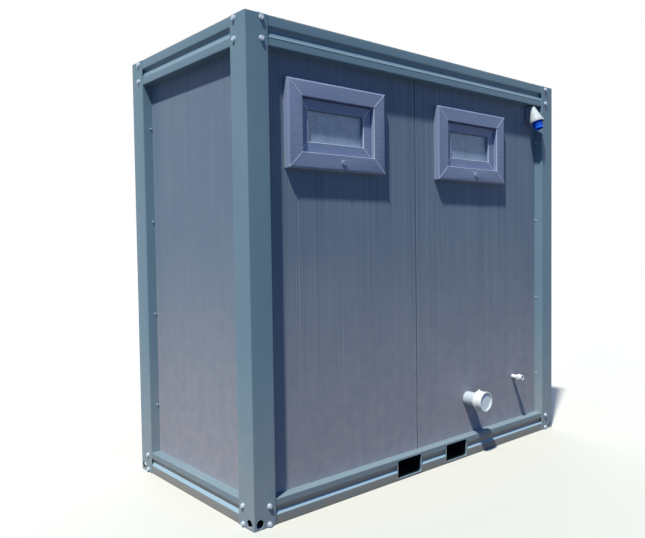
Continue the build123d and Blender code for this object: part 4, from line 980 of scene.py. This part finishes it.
class CABIN_OT_connections(bpy.types.Operator):
    """Finish the drain, the water pipe, the power inlet and the lamps."""

    bl_idname = "cabin.connections"
    bl_label = "Connections"

    def execute(self, context):
        refine("drain_pipe", "drain_plastic", 0.6 * MM)
        self.add_drain_plug()
        self.add_wall_seals()
        refine("water_pipe", "pipe_plastic", 0.4 * MM)
        refine("power_inlet_hood", "hood_grey", 1.5 * MM, 3)
        refine("power_inlet_collar", "collar_blue", 0.8 * MM)
        refine("cabin_lamps", "lamp_cover", 2.0 * MM, 3)
        return {"FINISHED"}

    def add_drain_plug(self):
        """The pale plug that closes the socket's mouth until the pipe is joined."""
        socket = entry("mounts", "name", "drain_socket")
        x, y, z = socket["pos_m"]
        radius = socket["dims"]["r_mm"] * MM - PLUG_PLAY
        face = (x, y - socket["dims"]["length_mm"] * MM / 2 + PLUG_INSET, z)
        shape = bmesh.new()
        add_rod(shape, face, (0.0, 1.0, 0.0), radius, PLUG_DEPTH, segments=64)
        add_torus(shape, face, (0.0, -1.0, 0.0), radius * PLUG_RING, PLUG_BEAD)
        place_piece("drain_plug", shape, "plug_blue", softness=1.0 * MM)

    def add_wall_seals(self):
        """Beads where the drain and the water pipe leave the wall."""
        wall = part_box("front_wall_right")[0].y
        shape = bmesh.new()
        for name, radius in (("drain_socket", DRAIN_SEAL), ("water_inlet", WATER_SEAL)):
            x, _, z = entry("mounts", "name", name)["pos_m"]
            add_torus(shape, (x, wall, z), (0.0, -1.0, 0.0), radius, SEAL_BEAD)
        place_piece("pipe_wall_seals", shape, "sealant")


class CABIN_OT_fittings(bpy.types.Operator):
    """Hang the mirrors, paper rolls and coat hooks in the two cabins."""

    bl_idname = "cabin.fittings"
    bl_label = "Fittings"

    def execute(self, context):
        partition_low, partition_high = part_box("partition_wall")
        left_end, right_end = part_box("end_wall_left")[1].x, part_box("end_wall_right")[0].x
        self.add_mirror("left", partition_low.x)
        self.add_mirror("right", right_end)
        self.add_paper_roll("left", left_end)
        self.add_paper_roll("right", partition_high.x)
        self.add_coat_hooks("left", left_end, 1)
        self.add_coat_hooks("right", right_end, -1)
        return {"FINISHED"}

    def add_mirror(self, side, wall):
        """A bevelled mirror on four round clips, above the basin, on a wall that faces -X."""
        tap_low, tap_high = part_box(f"tap_push_{side}")
        y = (tap_low.y + tap_high.y) / 2
        top = MIRROR_FOOT + MIRROR_HEIGHT
        low = (wall - MIRROR_THICKNESS, y - MIRROR_WIDTH / 2, MIRROR_FOOT)
        shape = bmesh.new()
        add_block(shape, low, (wall, y + MIRROR_WIDTH / 2, top))
        place_piece(f"mirror_{side}", shape, "mirror", softness=1.5 * MM)
        shape = bmesh.new()
        for sy in (-1, 1):
            for z in (MIRROR_FOOT, top):
                start = (wall, y + sy * MIRROR_WIDTH / 3, z)
                add_rod(shape, start, (-1.0, 0.0, 0.0), CLIP_RADIUS, 2 * MIRROR_THICKNESS)
        place_piece(f"mirror_clips_{side}", shape, "chrome", softness=0.8 * MM)

    def add_paper_roll(self, side, wall):
        """A roll of paper on its arm, beside the pan, on a wall that faces +X."""
        root = (wall, ROLL_PLACE, ROLL_HEIGHT)
        x = wall + ROLL_REACH
        shape = bmesh.new()
        add_rod(shape, root, (1.0, 0.0, 0.0), ARM_RADIUS, ROLL_REACH + ARM_RADIUS, 16)
        elbow = (x, ROLL_PLACE, ROLL_HEIGHT)
        add_rod(shape, elbow, (0.0, -1.0, 0.0), ARM_RADIUS, ROLL_WIDTH + 2 * ARM_SPARE, 16)
        add_rod(shape, root, (1.0, 0.0, 0.0), ARM_PLATE, ARM_PLATE_DEPTH)
        place_piece(f"roll_arm_{side}", shape, "chrome", softness=1.0 * MM)
        shape = bmesh.new()
        start = (x, ROLL_PLACE - ARM_SPARE, ROLL_HEIGHT)
        add_round_ring(shape, start, (0.0, -1.0, 0.0), ROLL_RADIUS, ROLL_CORE, ROLL_WIDTH)
        place_piece(f"paper_roll_{side}", shape, "paper", softness=2.0 * MM)

    def add_coat_hooks(self, side, wall, out):
        """A rail with two hooks on the end wall, beside the door."""
        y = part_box(f"back_wall_{side}")[0].y - RAIL_WIDTH * RAIL_PLACE
        near, far = sorted((wall, wall + out * RAIL_DEPTH))
        lean = Vector((out, 0.0, HOOK_RISE)).normalized()
        shape = bmesh.new()
        top = RAIL_HEIGHT + RAIL_TALL
        add_block(shape, (near, y - RAIL_WIDTH / 2, RAIL_HEIGHT), (far, y + RAIL_WIDTH / 2, top))
        for sy in (-1, 1):
            root = Vector((wall, y + sy * RAIL_WIDTH / 4, RAIL_HEIGHT + RAIL_TALL / 2))
            add_rod(shape, root, lean, HOOK_ROOT, HOOK_REACH, 16, HOOK_END)
            tip = Matrix.Translation(root + lean * HOOK_REACH)
            bmesh.ops.create_uvsphere(shape, u_segments=16, v_segments=10, radius=HOOK_KNOB, matrix=tip)
        place_piece(f"coat_hooks_{side}", shape, "brushed", softness=1.0 * MM)


class CABIN_OT_stage(bpy.types.Operator):
    """Set the camera, the lamps and the pale floor."""

    bl_idname = "cabin.stage"
    bl_label = "Studio stage"

    def execute(self, context):
        stage = context.scene.cabin_stage
        self.add_camera(context, stage)
        self.add_lamp(context, "key lamp", KEY_DIRECTION, stage.key, stage.key_colour, KEY_SPREAD)
        self.add_lamp(context, "back lamp", BACK_DIRECTION, stage.back, WHITE[:3], BACK_SPREAD)
        self.add_floor(context, stage)
        self.set_world(context, stage)
        context.scene.view_settings.view_transform = "Standard"
        return {"FINISHED"}

    def add_camera(self, context, stage):
        turn, tilt, roll = stage.turn, stage.tilt, stage.roll
        ahead = Vector((math.sin(turn) * math.cos(tilt), math.cos(turn) * math.cos(tilt), math.sin(tilt)))
        level = Vector((math.cos(turn), -math.sin(turn), 0.0))
        upright = level.cross(ahead)
        right = level * math.cos(roll) + upright * math.sin(roll)
        up = right.cross(ahead)
        data = bpy.data.cameras.new("camera")
        data.lens = stage.lens
        data.sensor_width = 36.0
        data.clip_start = 0.05
        data.clip_end = 200.0
        camera = bpy.data.objects.new("camera", data)
        pose = Matrix((right, up, -ahead)).transposed().to_4x4()
        camera.matrix_world = Matrix.Translation(stage.camera_place) @ pose
        context.scene.collection.objects.link(camera)
        context.scene.camera = camera

    def add_lamp(self, context, name, direction, strength, colour, spread):
        data = bpy.data.lights.new(name, "SUN")
        data.energy = strength
        data.color = colour
        data.angle = math.radians(spread)
        lamp = bpy.data.objects.new(name, data)
        lamp.rotation_mode = "QUATERNION"
        lamp.rotation_quaternion = Vector(direction).to_track_quat("-Z", "Y")
        context.scene.collection.objects.link(lamp)

    def add_floor(self, context, stage):
        shape = bmesh.new()
        bmesh.ops.create_grid(shape, x_segments=1, y_segments=1, size=FLOOR_REACH)
        mesh = bpy.data.meshes.new("studio_floor")
        shape.to_mesh(mesh)
        shape.free()
        self.mix_floor(stage)
        mesh.materials.append(Finish.made["studio_floor"])
        floor = bpy.data.objects.new("studio_floor", mesh)
        context.scene.collection.objects.link(floor)

    def mix_floor(self, stage):
        """A floor that looks pale, yet throws little light up at the object."""
        finish = Finish("studio_floor", stage.floor, 0.9)
        finish.tint(finish.math("SUBTRACT", 1.0, self.shown(finish.tree)), [stage.floor_bounce] * 3)

    def shown(self, tree):
        """1 for what the camera sees itself, in a gloss or through glass."""
        rays = add_node(tree, "ShaderNodeLightPath").outputs
        seen = rays["Is Camera Ray"]
        for other in ("Is Glossy Ray", "Is Transmission Ray"):
            inputs = ((0, seen), (1, rays[other]))
            seen = add_node(tree, "ShaderNodeMath", inputs, operation="MAXIMUM").outputs[0]
        return seen

    def set_world(self, context, stage):
        """Blue fill light on the object, in front of a white background."""
        world = bpy.data.worlds.new("studio")
        world.use_nodes = True
        context.scene.world = world
        tree = world.node_tree
        place = add_node(tree, "ShaderNodeTexCoord")
        height = add_node(tree, "ShaderNodeSeparateXYZ", ((0, place.outputs["Generated"]),))
        ramp = add_node(tree, "ShaderNodeValToRGB", ((0, height.outputs["Z"]),))
        low, high = ramp.color_ramp.elements
        low.position, low.color = 0.0, SKY_LOW
        high.position, high.color = SKY_TURN, SKY_HIGH
        soft = tree.nodes["Background"]
        soft.inputs["Strength"].default_value = stage.sky
        tree.links.new(ramp.outputs[0], soft.inputs["Color"])
        white = add_node(tree, "ShaderNodeBackground", (("Color", WHITE),))
        inputs = ((0, self.shown(tree)), (1, soft.outputs[0]), (2, white.outputs[0]))
        mix = add_node(tree, "ShaderNodeMixShader", inputs)
        tree.links.new(mix.outputs[0], tree.nodes["World Output"].inputs["Surface"])


class CABIN_PT_tools(bpy.types.Panel):
    """The cabin's pieces, in the order in which they are made."""

    bl_label = "Sanitary cabin"
    bl_idname = "CABIN_PT_tools"
    bl_space_type = "VIEW_3D"
    bl_region_type = "UI"
    bl_category = "Cabin"

    def draw(self, context):
        for group in SETTINGS:
            settings = getattr(context.scene, group)
            for name in settings.__annotations__:
                self.layout.prop(settings, name)
        for operator in OPERATORS:
            self.layout.operator(operator.bl_idname)


SETTINGS = {
    "cabin_colours": CabinColours,
    "cabin_panels": CabinPanels,
    "cabin_windows": CabinWindows,
    "cabin_stage": CabinStage,
}
OPERATORS = (
    CABIN_OT_materials, CABIN_OT_frame, CABIN_OT_panels, CABIN_OT_windows, CABIN_OT_doors,
    CABIN_OT_sanitary, CABIN_OT_connections, CABIN_OT_fittings, CABIN_OT_stage,
)
CLASSES = (*SETTINGS.values(), *OPERATORS, CABIN_PT_tools)


def register():
    for item in CLASSES:
        bpy.utils.register_class(item)
    for name, settings in SETTINGS.items():
        setattr(bpy.types.Scene, name, PointerProperty(type=settings))


def unregister():
    for name in SETTINGS:
        delattr(bpy.types.Scene, name)
    for item in reversed(CLASSES):
        bpy.utils.unregister_class(item)


def main():
    register()
    for operator in OPERATORS:
        group, name = operator.bl_idname.split(".")
        getattr(getattr(bpy.ops, group), name)()


if __name__ == "__main__":
    main()
